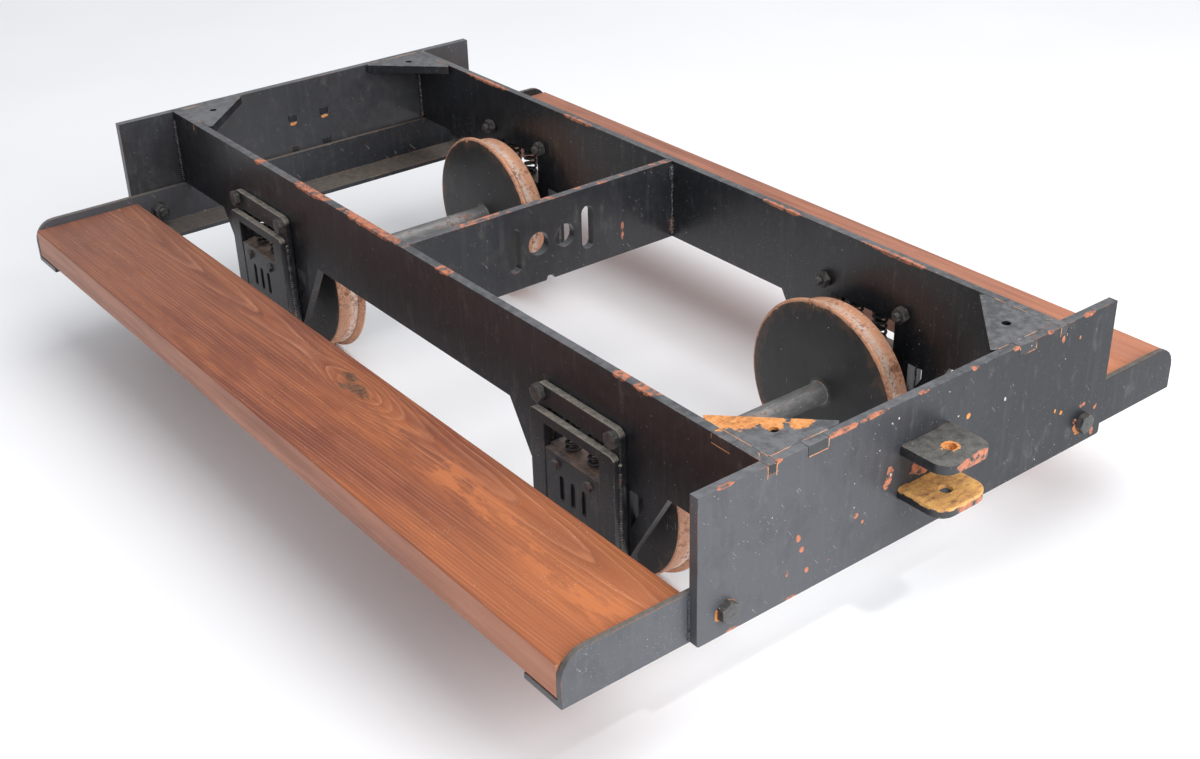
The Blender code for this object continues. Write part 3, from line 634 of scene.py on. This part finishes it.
def hex_block(base, axis, flats, height, turn, both=False, count=72):
    """A hexagon head or nut: flat sides, each end turned down to a cone."""
    axis, (u, v) = Vector(axis).normalized(), basis(axis)
    crown, slope = flats / 2 * 0.96, math.tan(math.radians(28))
    angles = [2 * math.pi * k / count for k in range(count)]

    def ring(radius, rise):
        out = []
        for a in angles:
            r = radius(a) if callable(radius) else radius
            h = rise(a) if callable(rise) else rise
            out.append(Vector(base) + axis * h + (u * math.cos(a + turn) + v * math.sin(a + turn)) * r)
        return out

    side = lambda a: hex_radius(a, flats)
    drop = lambda a: (side(a) - crown) * slope
    rings = [ring(crown, 0.0), ring(side, drop)] if both else [ring(side, 0.0)]
    fall = lambda a: height - drop(a)
    rings += [ring(side, fall), ring(crown, height - 0.00005), ring(crown * 0.97, height)]
    return tube(rings)


def rod(base, axis, radius, length, pitch=None, count=32, tip=0.0008):
    """A round bar with a chamfered tip, threaded if it has a pitch."""
    axis, (u, v) = Vector(axis).normalized(), basis(axis)
    steps = max(2, int(length / (pitch / 6))) if pitch else 2
    rings = []
    for k in range(steps + 1):
        rise = length * k / steps
        ring = []
        for i in range(count):
            a = 2 * math.pi * i / count
            r = radius
            if pitch:
                r -= pitch * 0.42 * abs(2 * ((rise / pitch - i / count) % 1.0) - 1)
            r = min(r, radius - max(0.0, tip - (length - rise)))
            ring.append(Vector(base) + axis * rise + (u * math.cos(a) + v * math.sin(a)) * r)
        rings.append(ring)
    return tube(rings)


def washer(base, axis, radius, thick, count=40):
    axis, (u, v) = Vector(axis).normalized(), basis(axis)
    profile = (radius - 0.0003, 0), (radius, 0.0003), (radius, thick - 0.0004), (radius - 0.0004, thick)
    angles = [2 * math.pi * i / count for i in range(count)]
    return tube([[Vector(base) + axis * h + (u * math.cos(a) + v * math.sin(a)) * r for a in angles]
                 for r, h in profile])


def bead(start, end, radius, seed, ripple=0.0027, wander=0.0006, count=10):
    """A weld bead: a lumpy tube from start to end."""
    start, end = Vector(start), Vector(end)
    length = (end - start).length
    axis, (u, v) = (end - start).normalized(), basis(end - start)
    steps = max(4, int(length / 0.0009))
    rings = []
    for k in range(steps + 1):
        d = length * k / steps
        lump = noise.noise(Vector((d * 130, seed, 0)))
        swell = 1 + 0.14 * math.sin(2 * math.pi * d / ripple) + 0.35 * lump
        close = min(1.0, (min(d, length - d) + 0.0004) / 0.0025) ** 0.5
        middle = start + axis * d + u * (wander * noise.noise(Vector((d * 70, seed, 5)))) + v * (
            wander * noise.noise(Vector((d * 70, seed, 9))))
        ring = []
        for i in range(count):
            a = 2 * math.pi * i / count
            rough = 1 + 0.16 * noise.noise(Vector((d * 420, i * 1.7, seed)))
            ring.append(middle + (u * math.cos(a) + v * math.sin(a)) * radius * swell * close * rough)
        rings.append(ring)
    return tube(rings)


def crack(start, end, normal, seed, width=0.00042, rise=0.00010, gap=0.6):
    """A thin ragged strip along a line on a face, missing here and there."""
    start, end, normal = Vector(start), Vector(end), Vector(normal).normalized()
    axis = (end - start).normalized()
    side = normal.cross(axis)
    length = (end - start).length
    out, rings = [], []
    steps = max(6, int(length / 0.0010))
    for i in range(steps + 1):
        at = length * i / steps
        present = noise.noise(Vector((at * 45, seed * 1.9, 2.0)))
        present += 0.35 * noise.noise(Vector((at * 190, seed, 8.0)))
        if present < gap - 0.8 or i == steps:
            if len(rings) > 2:
                out.append(tube(rings))
            rings = []
            continue
        bulge = max(0.0, noise.noise(Vector((at * 260, seed, 5))))
        w = width * (0.45 + 0.55 * min(1.0, (present + 0.8 - gap) * 3) + 0.9 * bulge)
        if not rings:
            w *= 0.4
        middle = start + axis * at + side * (0.0004 * noise.noise(Vector((at * 140, seed, 4))))
        rings.append([middle - side * w - normal * 0.0003, middle - side * w * 0.8 + normal * rise,
                      middle + side * w * 0.8 + normal * rise, middle + side * w - normal * 0.0003])
    return merge(*out)


def coil(centre, low, high, radius, wire, turns, per_turn=40, ring=12):
    """A compression spring with closed ends."""
    steps, r = int(turns * per_turn), wire / 2
    dead, shut = wire * 1.04 * 0.8, 0.8
    live = (high - low - wire) - 2 * dead
    rings = []
    for k in range(steps + 1):
        turn = turns * k / steps
        if turn < shut:
            rise = dead * turn / shut
        elif turn > turns - shut:
            rise = dead + live + dead * (turn - turns + shut) / shut
        else:
            rise = dead + live * (turn - shut) / (turns - 2 * shut)
        a = 2 * math.pi * turn
        out = Vector((math.cos(a), math.sin(a), 0))
        middle = Vector((centre[0], centre[1], low + r + rise)) + out * (radius - r)
        rings.append([middle + out * (r * math.cos(p)) + Vector((0, 0, r * math.sin(p)))
                      for p in (2 * math.pi * m / ring for m in range(ring))])
    return tube(rings)


def lathe(profile, centre, count):
    """Turns (x, radius, look) points about the X axis through centre.

    A point's look is for the band that ends at it.
    """
    verts, faces, indices = [], [], []
    size, (x, y, z) = len(profile), centre
    for k in range(count):
        a = 2 * math.pi * k / count
        verts += [(x + along, y + radius * math.cos(a), z + radius * math.sin(a))
                  for along, radius, _ in profile]
    for k in range(count):
        here, there = k * size, ((k + 1) % count) * size
        for i in range(size):
            j = (i + 1) % size
            faces.append((here + i, here + j, there + j, there + i))
            indices.append(profile[j][2])
    return verts, faces, indices


# ---------------------------------------------------------------- materials in use
FRONT = -END_Y
BOX_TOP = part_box("axlebox_front_left")[1].z
EAR_LOW, EAR_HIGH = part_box("coupling_ear_upper_front")
LOWER_EAR_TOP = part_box("coupling_ear_lower_front")[1].z
THROAT_Z = (LOWER_EAR_TOP + EAR_LOW.z) / 2
EAR_TIP = EAR_LOW.y
PIN_Y = FRONT - 0.028
MARK_DEPTH = 0.0035              # how far a mark reaches into the face it lies on


def middle_of(node):
    low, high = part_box(node)
    return (low + high) / 2


LEFT_BOLT, RIGHT_BOLT = middle_of("carrier_bolt_front_left"), middle_of("carrier_bolt_front_right")


def strewn(seed, count, xs, zs, sizes):
    """Small marks at random in one area of the front beam's outer face."""
    draw = random.Random(seed)
    marks = []
    for _ in range(count):
        place, size = (draw.uniform(*xs), FRONT, draw.uniform(*zs)), draw.uniform(*sizes)
        marks.append((place, (size * draw.uniform(0.8, 1.2), MARK_DEPTH, size * draw.uniform(0.8, 1.7))))
    return marks


def edge_wear(seed, count, start, end, z, halves, high):
    """Worn stretches at random along a level edge of the front beam."""
    draw = random.Random(seed)
    step = (end - start) / count
    return [((start + step * (k + draw.uniform(0.25, 0.75)), FRONT, z),
             (draw.uniform(*halves), MARK_DEPTH, high * draw.uniform(0.8, 1.3))) for k in range(count)]


def plate_top(x, wide, stretches):
    """Worn stretches of a side plate's top edge, from pairs of start and end along Y."""
    return [((x, (a + b) / 2, TOP), (wide, abs(b - a) / 2, MARK_DEPTH)) for a, b in stretches]


def along_gusset(node, count):
    """Rust along the free edge of a left-hand front gusset, thinning out towards the beam."""
    low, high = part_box(node)
    leg = high.y - low.y - PLATE
    marks = []
    for k in range(count):
        run, radius = (k + 0.4) / (count + 1) * leg, 0.022 - 0.0035 * k
        marks.append(((-FRAME_INNER + run, high.y - run - 0.004, TOP), (radius, radius, 0.0045)))
    return marks


BEAM_CHIPS = (
    edge_wear(4, 4, -BEAM_HALF + 0.010, EAR_LOW.x, TOP, (0.008, 0.024), 0.0030)
    + edge_wear(9, 5, EAR_LOW.x, BEAM_HALF - 0.020, TOP, (0.004, 0.015), 0.0026)
    + edge_wear(3, 2, -BEAM_HALF + 0.020, LEFT_BOLT.x + 0.10, BEAM_LOW, (0.004, 0.011), 0.0034)
    + strewn(21, 8, (LEFT_BOLT.x + 0.07, EAR_LOW.x - 0.03), (BEAM_LOW + 0.010, THROAT_Z - 0.014),
             (0.0018, 0.0036))
    + strewn(12, 6, (RIGHT_BOLT.x - 0.03, BEAM_HALF - 0.008), (BEAM_LOW + 0.005, THROAT_Z - 0.010),
             (0.0019, 0.0040))
    + strewn(17, 2, (EAR_HIGH.x + 0.08, BEAM_HALF - 0.01), (TOP - 0.05, TOP - 0.008), (0.0018, 0.0030))
    # bare metal beside the ears and in the throat between them
    + [((EAR_LOW.x - 0.012, FRONT, THROAT_Z + 0.003), (0.0043, MARK_DEPTH, 0.0085)),
       ((EAR_LOW.x - 0.015, FRONT, THROAT_Z - 0.007), (0.0043, MARK_DEPTH, 0.0072)),
       ((0.0, FRONT, THROAT_Z - 0.006), (0.018, MARK_DEPTH, 0.0095))])
BEAM_GOLD = (
    strewn(5, 4, (LEFT_BOLT.x, RIGHT_BOLT.x), (THROAT_Z - 0.03, TOP - 0.03), (0.0015, 0.0025))
    + [((LEFT_BOLT.x, FRONT, LEFT_BOLT.z), (0.0110, MARK_DEPTH, 0.0110)),
       ((RIGHT_BOLT.x - 0.004, FRONT, RIGHT_BOLT.z - 0.003), (0.0070, MARK_DEPTH, 0.0100))])
BEAM_PALE = strewn(8, 6, (-BEAM_HALF / 2, BEAM_HALF - 0.01), (THROAT_Z, TOP - 0.015), (0.0010, 0.0018))

# feet have worn the left plate's top between the stretcher and the rear axle, and beside the front gusset
GUSSET_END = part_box("corner_gusset_front_left")[1].y
BEHIND = [(share * AXLE_Y, to * AXLE_Y) for share, to in ((0.0, 0.4), (0.5, 0.75), (0.98, 1.04))]
BEFORE = [(-0.3 * AXLE_Y, -0.22 * AXLE_Y), (GUSSET_END + 0.05, GUSSET_END + 0.08),
          (GUSSET_END + 0.09, GUSSET_END + 0.11)]
LEFT_TOP = plate_top(-(FRAME_INNER + FRAME_OUTER) / 2, 0.020, BEHIND + BEFORE)
RIGHT_TOP = plate_top(FRAME_INNER + 0.001, 0.004, [
    (k * INNER_Y / 3 - 0.04, k * INNER_Y / 3 + 0.03 * abs(k)) for k in (-2, -1, 1, 2)])
CORNER_RUST = along_gusset("corner_gusset_front_left", 4)
TAB_RUST = [((sx * 0.75 * EAR_HIGH.x, INNER_Y, middle_of(f"coupling_ear_{level}_rear").z - 0.008),
             (0.0060, 0.0040, 0.0022)) for sx in (-1, 1) for level in ("upper", "lower")]
# a run of rust low on the stretcher, between its last slot and the right side plate
DRIP = [((0.58 * FRAME_INNER, -0.006, SIDE_LOW + share * (TOP - SIDE_LOW)), (0.0025, 0.004, 0.0070))
        for share in (0.24, 0.36)]


def front_ear(name, top, **marks):
    """One of the front coupling ears, with worn paint along the rim of its nose."""
    rim = (0.3 * EAR_HIGH.x, EAR_TIP, top - 0.005), (0.8 * EAR_HIGH.x, 0.005, 0.007)
    return paint(name, chips=[rim], **marks)


def knot(across, along, size, push=0.0):
    """A knot placed by shares of a board's width from its inner edge, and of its length from its middle."""
    width, length = BOARD_HIGH.x - BOARD_LOW.x, BOARD_HIGH.y - BOARD_LOW.y
    return BOARD_LOW.x + across * width, along * length, size, push


look = {
    "side_left": paint("paint_side_left", wear=0.13, top_wear=0.04, dust=0.50, specks=0.11,
                       chips=LEFT_TOP, gloss=0.40),
    "side_right": paint("paint_side_right", wear=0.15, top_wear=0.04, dust=0.50, specks=0.17,
                        chips=RIGHT_TOP, gloss=0.70),
    # the front beam's haze is mostly painted reflection, lighter towards its left end
    "beam_front": paint("paint_beam_front", wear=0.12, top_wear=0.03, dust=0.50, specks=0.06,
                        chips=BEAM_CHIPS, rust=BEAM_GOLD, pale=BEAM_PALE, haze_and_sheen=0.56, reflection_gradient=True, gloss=0.28),
    "beam_rear": paint("paint_beam_rear", wear=0.12, top_wear=0.08, dust=0.50, specks=0.07,
                       rust=TAB_RUST, haze_and_sheen=0.22, gloss=0.80),
    "stretcher": paint("paint_stretcher", wear=0.20, top_wear=0.46, dust=0.40, specks=0.08,
                       chips=DRIP, haze_and_sheen=0.06, gloss=0.80),
    "gusset": paint("paint_gusset", wear=0.14, dust=0.55, specks=0.06),
    "gusset_rusty": paint("paint_gusset_rusty", wear=0.16, dust=0.55, specks=0.05, rust=CORNER_RUST),
    # the carriers' haze is painted reflection too, lighter towards their left ends
    "carrier": paint("paint_carrier", wear=0.36, dust=0.40, grit=0.85, soil=(0.175, 0.135, 0.100),
                     specks=0.08, haze_and_sheen=0.62, reflection_gradient=True, gloss=0.28),
    "ear_upper": front_ear("paint_ear_upper", TOP - 0.045, wear=0.22, dust=0.30, grit=0.40,
                           soil=(0.26, 0.24, 0.19), specks=0.20,
                           rust=[((0, PIN_Y, TOP - 0.050), (0.0092, 0.0092, 0.020))]),
    "ear_lower": front_ear("paint_ear_lower", TOP - 0.090, wear=0.40, dust=0.30, specks=0.06,
                           rust=[((0.004, PIN_Y, TOP - 0.090), (0.070, 0.060, 0.0040))],
                           rust_hue=OCHRE_RUST),
    "ear_rear": paint("paint_ear_rear", wear=0.30, dust=0.45, specks=0.08),
    "horn": paint("paint_horn", wear=0.20, dust=0.45, grit=1.0, specks=0.10,
                  brown=[((FRAME_OUTER + 0.004, AXLE_Y, AXLE_Z + 0.060), (0.0045, 0.046, 0.028))]),
    "box": paint("paint_axlebox", wear=0.24, dust=0.35, grit=0.3, specks=0.08,
                 brown=[((FRAME_OUTER, AXLE_Y, BOX_TOP), (0.016, 0.060, 0.0035))]),
    "weld": paint("paint_weld", wear=0.10, dust=0.45, specks=0.30, haze_and_sheen=0.15, rough=0.24),
    "bolt": bolt_look("paint_bolt"),
    "spring": spring_look("spring_black"),
    "disc": wheel_disc("wheel_disc_paint"),
    "rim": wheel_rim("wheel_rim_rust"),
    "axle": axle_look("axle_steel_rusty"),
    "crack": crack_look("paint_cracks"),
    "wood_left": wood("wood_board_left", -1, [knot(0.24, -0.06, 0.0100, -0.014), knot(0.18, -0.04, 0.0062),
                                              knot(0.28, -0.05, 0.0050)], grey=0.45),
    "wood_right": wood("wood_board_right", 1, [knot(0.50, 0.14, 0.0070, -0.010)], grey=0.10, paler=0.30),
}

# ---------------------------------------------------------------- frame plates
for side, _ in SIDES:
    skin("side_plate_" + side, look["side_" + side], width=0.0004)
skin("centre_stretcher", look["stretcher"])
for end, _ in ENDS:
    skin("end_beam_" + end, look["beam_" + end], width=0.0004)
    skin("footboard_carrier_" + end, look["carrier"])
    for level in ("upper", "lower"):
        skin(f"coupling_ear_{level}_{end}", look["ear_" + level if end == "front" else "ear_rear"])
    for side, _ in SIDES:
        where = f"{end}_{side}"
        rusty = where == "front_left"
        skin("corner_gusset_" + where, look["gusset_rusty" if rusty else "gusset"], width=0.0003)
        skin("horn_plate_" + where, look["horn"], width=0.0010)
        skin("horn_guide_" + where, look["horn"], width=0.0009)
        skin("axlebox_" + where, look["box"], width=0.0006, body=end + "_axleboxes")


# ---------------------------------------------------------------- welds and split paint over joints
def weld(name, runs, finish="weld"):
    """Beads of weld joined into one piece."""
    piece("weld_" + name, *merge(*(bead(*run) for run in runs)), look[finish], slot="frame_paint")


def upright(x, y, low, high, radius, seed, *more):
    """What bead() needs for a run straight up."""
    return (x, y, low), (x, y, high), radius, seed, *more


def split_paint(name, sx, ey, seed, spare):
    """Cracked paint over the seams of one corner: round both tabs of its gusset and along the plates."""
    def at(x, y, z=TOP):
        return sx * x, ey * y, z

    brim, deep, low = TOP - 0.001, TOP - 0.014, TOP - GUSSET_T
    near_y, far_y = (INNER_Y - seam for seam in TAB_SEAM)
    near_x, far_x = (FRAME_INNER - seam for seam in TAB_SEAM)
    out, front, up = (sx, 0, 0), (0, ey, 0), (0, 0, 1)
    lines = [(at(FRAME_OUTER, far_y, brim), at(FRAME_OUTER, far_y, low), out, 0.35),
             (at(FRAME_OUTER, far_y, low), at(FRAME_OUTER, near_y, low), out, 0.75),
             (at(far_x, END_Y, brim), at(far_x, END_Y, low), front, 0.1),
             (at(far_x, END_Y, low), at(near_x, END_Y, low), front, 0.3),
             (at(near_x, END_Y, low), at(near_x, END_Y, brim), front, 0.8),
             (at(FRAME_OUTER, END_Y, brim), at(FRAME_OUTER, END_Y, deep), front, 0.7),
             (at(FRAME_INNER, END_Y, brim), at(FRAME_INNER, END_Y, deep), front, 0.5),
             (at(FRAME_INNER, INNER_Y - 0.001), at(FRAME_INNER, INNER_Y - 0.080), up, 0.6),
             (at(FRAME_INNER - 0.001, INNER_Y), at(FRAME_INNER - 0.082, INNER_Y), up, 0.4),
             (at(FRAME_INNER + 0.002, INNER_Y - 0.010), at(FRAME_OUTER, INNER_Y), up, 0.5)]
    parts = [crack(a, b, normal, seed + k * 0.7, gap=gap + spare)
             for k, (a, b, normal, gap) in enumerate(lines)]
    piece("paint_cracks_" + name, *merge(*parts), look["crack"], slot="frame_paint")


for end, ey in ENDS:
    for side, sx in SIDES:
        seed = 11 * (ey + 2) + 3 * (sx + 2)
        outside, inside = sx * (FRAME_OUTER + 0.0010), sx * (FRAME_INNER - 0.0010)
        carrier_x, carrier_y = sx * (BEAM_HALF - 0.0004), ey * (INNER_Y - 0.0008)
        corner, foot = ey * (INNER_Y - 0.0012), SIDE_LOW + 0.001
        weld(f"corner_{end}_{side}",
             [upright(outside, corner, foot, TOP - PLATE - 0.002, 0.0027, seed),
              upright(inside, corner, foot, TOP - GUSSET_T - 0.003, 0.0024, seed + 1),
              upright(carrier_x, carrier_y, BEAM_LOW + 0.002, CARRIER_TOP - 0.002, 0.0023, seed + 2)])
for side, sx in SIDES:
    runs = []
    for ey in (-1, 1):
        x, y, seed = sx * (FRAME_INNER - 0.0012), ey * 0.0058, ey + sx * 3
        proud = x - sx * 0.001
        runs += [upright(x, y, SIDE_LOW + 0.003, TOP - 0.004, 0.0020, 40 + seed),
                 upright(proud, y, TOP - 0.024, TOP - 0.006, 0.0040, 50 + seed),
                 upright(proud, y, SIDE_LOW + 0.008, SIDE_LOW + 0.024, 0.0038, 60 + seed)]
    weld("stretcher_" + side, runs)
for end, ey in ENDS:
    for level, drop in (("upper", 0.055), ("lower", 0.100)):
        y, z = ey * (END_Y + 0.0008), TOP - drop - 0.0006
        weld(f"ear_{level}_{end}", [((-0.031, y, z), (0.031, y, z), 0.0024, 70 + ey + drop * 100)])
    for side, sx in SIDES:
        x, low, high = sx * (GUIDE_LOW.x - 0.0002), GUIDE_LOW.z + 0.006, GUIDE_HIGH.z - 0.008
        weld(f"horn_{end}_{side}",
             [upright(x, ey * AXLE_Y + oy * 0.0652, low, high, 0.0023, 80 + ey + 5 * sx + 9 * oy,
                      0.0027, 0.0004) for oy in (-1, 1)], finish="horn")
for end, ey in ENDS:
    for side, sx in SIDES:
        most_split = (end, side) == ("front", "left")
        split_paint(f"{end}_{side}", sx, ey, 100 + 7 * ey + 3 * sx, 0.0 if most_split else 0.38)

# ---------------------------------------------------------------- fasteners
def hex_bolt(node, parts):
    piece("hex_" + node, *merge(*parts), look["bolt"], slot="bolt_steel", nodes=[node])


def horn_bolt(node, sx, ey, oy):
    """M10 bolt through a horn plate and its side plate: head outside, nut inside."""
    low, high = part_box(node)
    y, z = ey * AXLE_Y + oy * HORN_BOLT_OUT, TOP - HORN_BOLT_DROP
    outer, inner = (high.x, low.x) if sx > 0 else (low.x, high.x)
    face, nut_in = sx * GUIDE_LOW.x, sx * (FRAME_INNER - 0.0003)
    out, back = (sx, 0, 0), (-sx, 0, 0)
    turn = 0.6 + 0.7 * oy + 0.5 * sx + 0.9 * ey
    hex_bolt(node, [
        hex_block((face, y, z), out, M10_HEAD, abs(outer - face), turn),
        hex_block((nut_in, y, z), back, M10_NUT, 0.0085, turn + 0.4, both=True),
        rod((nut_in - sx * 0.002, y, z), back, 0.0049, abs(inner - nut_in) - 0.002, pitch=M10_PITCH),
        rod((nut_in - sx * 0.001, y, z), out, 0.0048, abs(face - nut_in) + 0.002)])


def carrier_bolt(node, sx, ey):
    """M12 bolt through an end beam and its carrier: head outside, washer and nut inside."""
    low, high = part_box(node)
    x, z = (low.x + high.x) / 2, BEAM_LOW + CARRIER_BOLT_RISE
    face, behind = ey * (END_Y + 0.0003), ey * (INNER_Y - 0.0066)
    outer, inner = (high.y, low.y) if ey > 0 else (low.y, high.y)
    out, back = (0, ey, 0), (0, -ey, 0)
    hex_bolt(node, [
        hex_block((x, face, z), out, M12_HEAD, abs(outer - face), 0.35 * sx + 0.2 * ey),
        washer((x, behind, z), back, 0.0115, 0.0020),
        hex_block((x, behind - ey * 0.0020, z), back, M12_NUT, 0.0105, 0.5 * sx, both=True),
        rod((x, behind - ey * 0.004, z), back, 0.0059, abs(inner - behind) - 0.004, pitch=M12_PITCH),
        rod((x, behind - ey * 0.003, z), out, 0.0058, abs(face - behind) + 0.005)])


for end, ey in ENDS:
    for side, sx in SIDES:
        for tag, oy in (("a", -1), ("b", 1)):
            horn_bolt(f"horn_bolt_{end}_{side}_{tag}", sx, ey, oy)
        carrier_bolt(f"carrier_bolt_{end}_{side}", sx, ey)

# ---------------------------------------------------------------- springs, wheels and axles
def spring(node, sx):
    low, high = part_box(node)
    centre, full = (sx * SPRING_X, middle_of(node).y), high.z - low.z
    verts, faces = coil(centre, low.z, high.z, 0.0090, 0.0036, 5.5)
    wound = piece("coil_" + node, verts, faces, look["spring"], slot="spring_steel", nodes=[node],
                  smooth=60)
    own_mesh(wound)


def wheel(node, end, sx, ey):
    """Flange, hollow and coned tread, turned from points (along the axle, radius, look)."""
    low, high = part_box(node)
    wide, bore, flange, tread = high.x - low.x, 0.0128, FLANGE_R, FLANGE_R - 0.0065
    shape = [(0.0000, bore, 0), (0.0000, flange - 0.0034, 0), (0.0004, flange - 0.0022, 1),
             (0.0013, flange - 0.0008, 1), (0.0026, flange - 0.0001, 1), (0.0038, flange - 0.0001, 1),
             (0.0052, flange - 0.0011, 1), (0.0064, flange - 0.0029, 1), (0.0075, tread + 0.0016, 1),
             (0.0088, tread + 0.0005, 1), (0.0108, tread, 1), (0.0150, tread - 0.0002, 1),
             (0.0220, tread - 0.0007, 1), (0.0290, tread - 0.0012, 1), (wide - 0.0012, tread - 0.0016, 1),
             (wide - 0.0003, tread - 0.0024, 1), (wide, tread - 0.0034, 1), (wide, bore, 0)]
    profile = [(sx * along, radius, band) for along, radius, band in shape]
    verts, faces, bands = lathe(profile, (low.x if sx > 0 else high.x, ey * AXLE_Y, AXLE_Z), 128)
    piece("turned_" + node, verts, faces, [look["disc"], look["rim"]], body=end + "_wheelset",
          slot="wheel_iron", nodes=[node], smooth=32, indices=bands)


def hub_weld(sx, ey, turns=64, count=8):
    """A ring of weld where the axle enters a wheel's inner face."""
    rings = []
    for k in range(turns):
        a = 2 * math.pi * k / turns
        out = Vector((0, math.cos(a), math.sin(a)))
        swell = 0.0015 * (1 + 0.12 * noise.noise(Vector((k * 0.45, sx * 3, ey * 5))))
        middle = Vector((sx * (WHEEL_LOW.x - 0.0006), ey * AXLE_Y, AXLE_Z)) + out * (AXLE_R + 0.0002)
        for m in range(count):
            p = 2 * math.pi * m / count
            rings.append(middle + (out * math.cos(p) + Vector((1, 0, 0)) * math.sin(p)) * swell)
    faces = []
    for k in range(turns):
        here, there = k * count, (k + 1) % turns * count
        faces += [(here + m, here + (m + 1) % count, there + (m + 1) % count, there + m)
                  for m in range(count)]
    return rings, faces


def axle(node, end, ey):
    """A bar with chamfered ends, cut into 40 lengths between them."""
    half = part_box(node)[1].x
    shape = [(-half, 0.0008, 0), (-half, AXLE_R - 0.0012, 0), (-half + 0.0012, AXLE_R, 0)]
    shape += [(-half + 0.0020 + (2 * half - 0.0040) * k / 40, AXLE_R, 0) for k in range(41)]
    shape += [(half - 0.0012, AXLE_R, 0), (half, AXLE_R - 0.0012, 0), (half, 0.0008, 0)]
    verts, faces, _ = lathe(shape, (0, ey * AXLE_Y, AXLE_Z), 64)
    parts = [(verts, faces)] + [hub_weld(sx, ey) for sx in (-1, 1)]
    piece("turned_" + node, *merge(*parts), look["axle"], body=end + "_wheelset", slot="axle_steel",
          nodes=[node], smooth=32)


for end, ey in ENDS:
    for side, sx in SIDES:
        for tag in "ab":
            spring(f"spring_{end}_{side}_{tag}", sx)
        wheel(f"wheel_{end}_{side}", end, sx, ey)
    axle("axle_" + end, end, ey)


# ---------------------------------------------------------------- boards
def board(side, sx):
    """A plank with eased edges that wander a little, slightly hollow along its top."""
    low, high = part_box("footboard_" + side)
    width, thick = high.x - low.x, high.z - low.z
    mid_x, mid_z = (low.x + high.x) / 2, (low.z + high.z) / 2
    arc, flat, stations = 5, 14, 120
    outline = []
    for (cx, cz), start in (((1, -1), -90), ((1, 1), 0), ((-1, 1), 90), ((-1, -1), 180)):
        for k in range(arc + 1):
            a = math.radians(start + 90 * k / arc)
            outline.append((cx, cz, math.cos(a), math.sin(a)))

    def eased(y, cx, cz):
        return 0.0022 * (1 + 0.15 * noise.noise(Vector((y * 25, cx * 3.0, cz * 2.0 + sx * 7))))

    def hollow(x, y):
        return 0.00018 * (1 + noise.noise(Vector((x * 40, y * 9, sx))))

    rings = []
    for k in range(stations + 1):
        y = low.y + (high.y - low.y) * k / stations
        ring = []
        for (cx, cz, ca, sa), (next_x, next_z, next_ca, _) in zip(outline, outline[1:] + outline[:1]):
            r = eased(y, cx, cz)
            x, z = mid_x + cx * (width / 2 - r) + ca * r, mid_z + cz * (thick / 2 - r) + sa * r
            if cz > 0:
                z -= hollow(x, y)
            ring.append((x, y, z))
            if next_x == cx or next_z != cz:
                continue
            # points across a wide face
            r = eased(y, next_x, next_z)
            across = mid_x + next_x * (width / 2 - r) + next_ca * r - x
            for m in range(1, flat):
                px, pz = x + across * m / flat, mid_z + cz * thick / 2
                if cz > 0:
                    pz -= hollow(px, y) + 0.0003 * math.sin(math.pi * m / flat)
                ring.append((px, y, pz))
        rings.append(ring)
    piece("plank_" + side, *tube(rings), look["wood_" + side], slot="board_wood",
          nodes=["footboard_" + side], smooth=40)


for side, sx in SIDES:
    board(side, sx)


# ---------------------------------------------------------------- floor, light and world
def make_stage():
    size, cells = 14.0, 24
    row = cells + 1
    verts = [((i / cells - 0.5) * size, (j / cells - 0.5) * size, 0.0)
             for j in range(row) for i in range(row)]
    faces = [(j * row + i, j * row + i + 1, (j + 1) * row + i + 1, (j + 1) * row + i)
             for j in range(cells) for i in range(cells)]
    mesh = bpy.data.meshes.new("floor")
    mesh.from_pydata(verts, [], faces)
    mesh.materials.append(floor_look())
    floor = add_object("floor", mesh)


def lamp(name, kind, place, aim, power, **settings):
    data = bpy.data.lights.new(name, kind)
    data.energy = power
    for key, value in settings.items():
        setattr(data, key, value)
    item = add_object(name, data)
    item.location = place
    item.rotation_euler = (Vector(aim) - Vector(place)).to_track_quat("-Z", "Y").to_euler()


make_stage()
lamp("key", "AREA", (0.7, -0.3, 3.3), (0, 0, 0.1), 62, shape="DISK", size=3.6)
lamp("front", "AREA", (0.2, -2.6, 1.5), (-0.1, -0.4, 0.1), 48, shape="DISK", size=1.8)
lamp("floor_pool", "SPOT", (-0.30, -2.0, 2.6), (-0.13, -0.86, 0), 190, spot_size=math.radians(17),
     spot_blend=1.0, shadow_soft_size=0.10)
world = bpy.data.worlds.new("studio")
world.use_nodes = True
world.node_tree.nodes["Background"].inputs["Color"].default_value = (0.955, 0.97, 1.0, 1.0)
world.node_tree.nodes["Background"].inputs["Strength"].default_value = 0.62
scene = bpy.context.scene
scene.world = world
scene.view_settings.view_transform = "Standard"
scene.view_settings.look = "None"
scene.view_settings.exposure = 0.0
scene.view_settings.gamma = 1.0
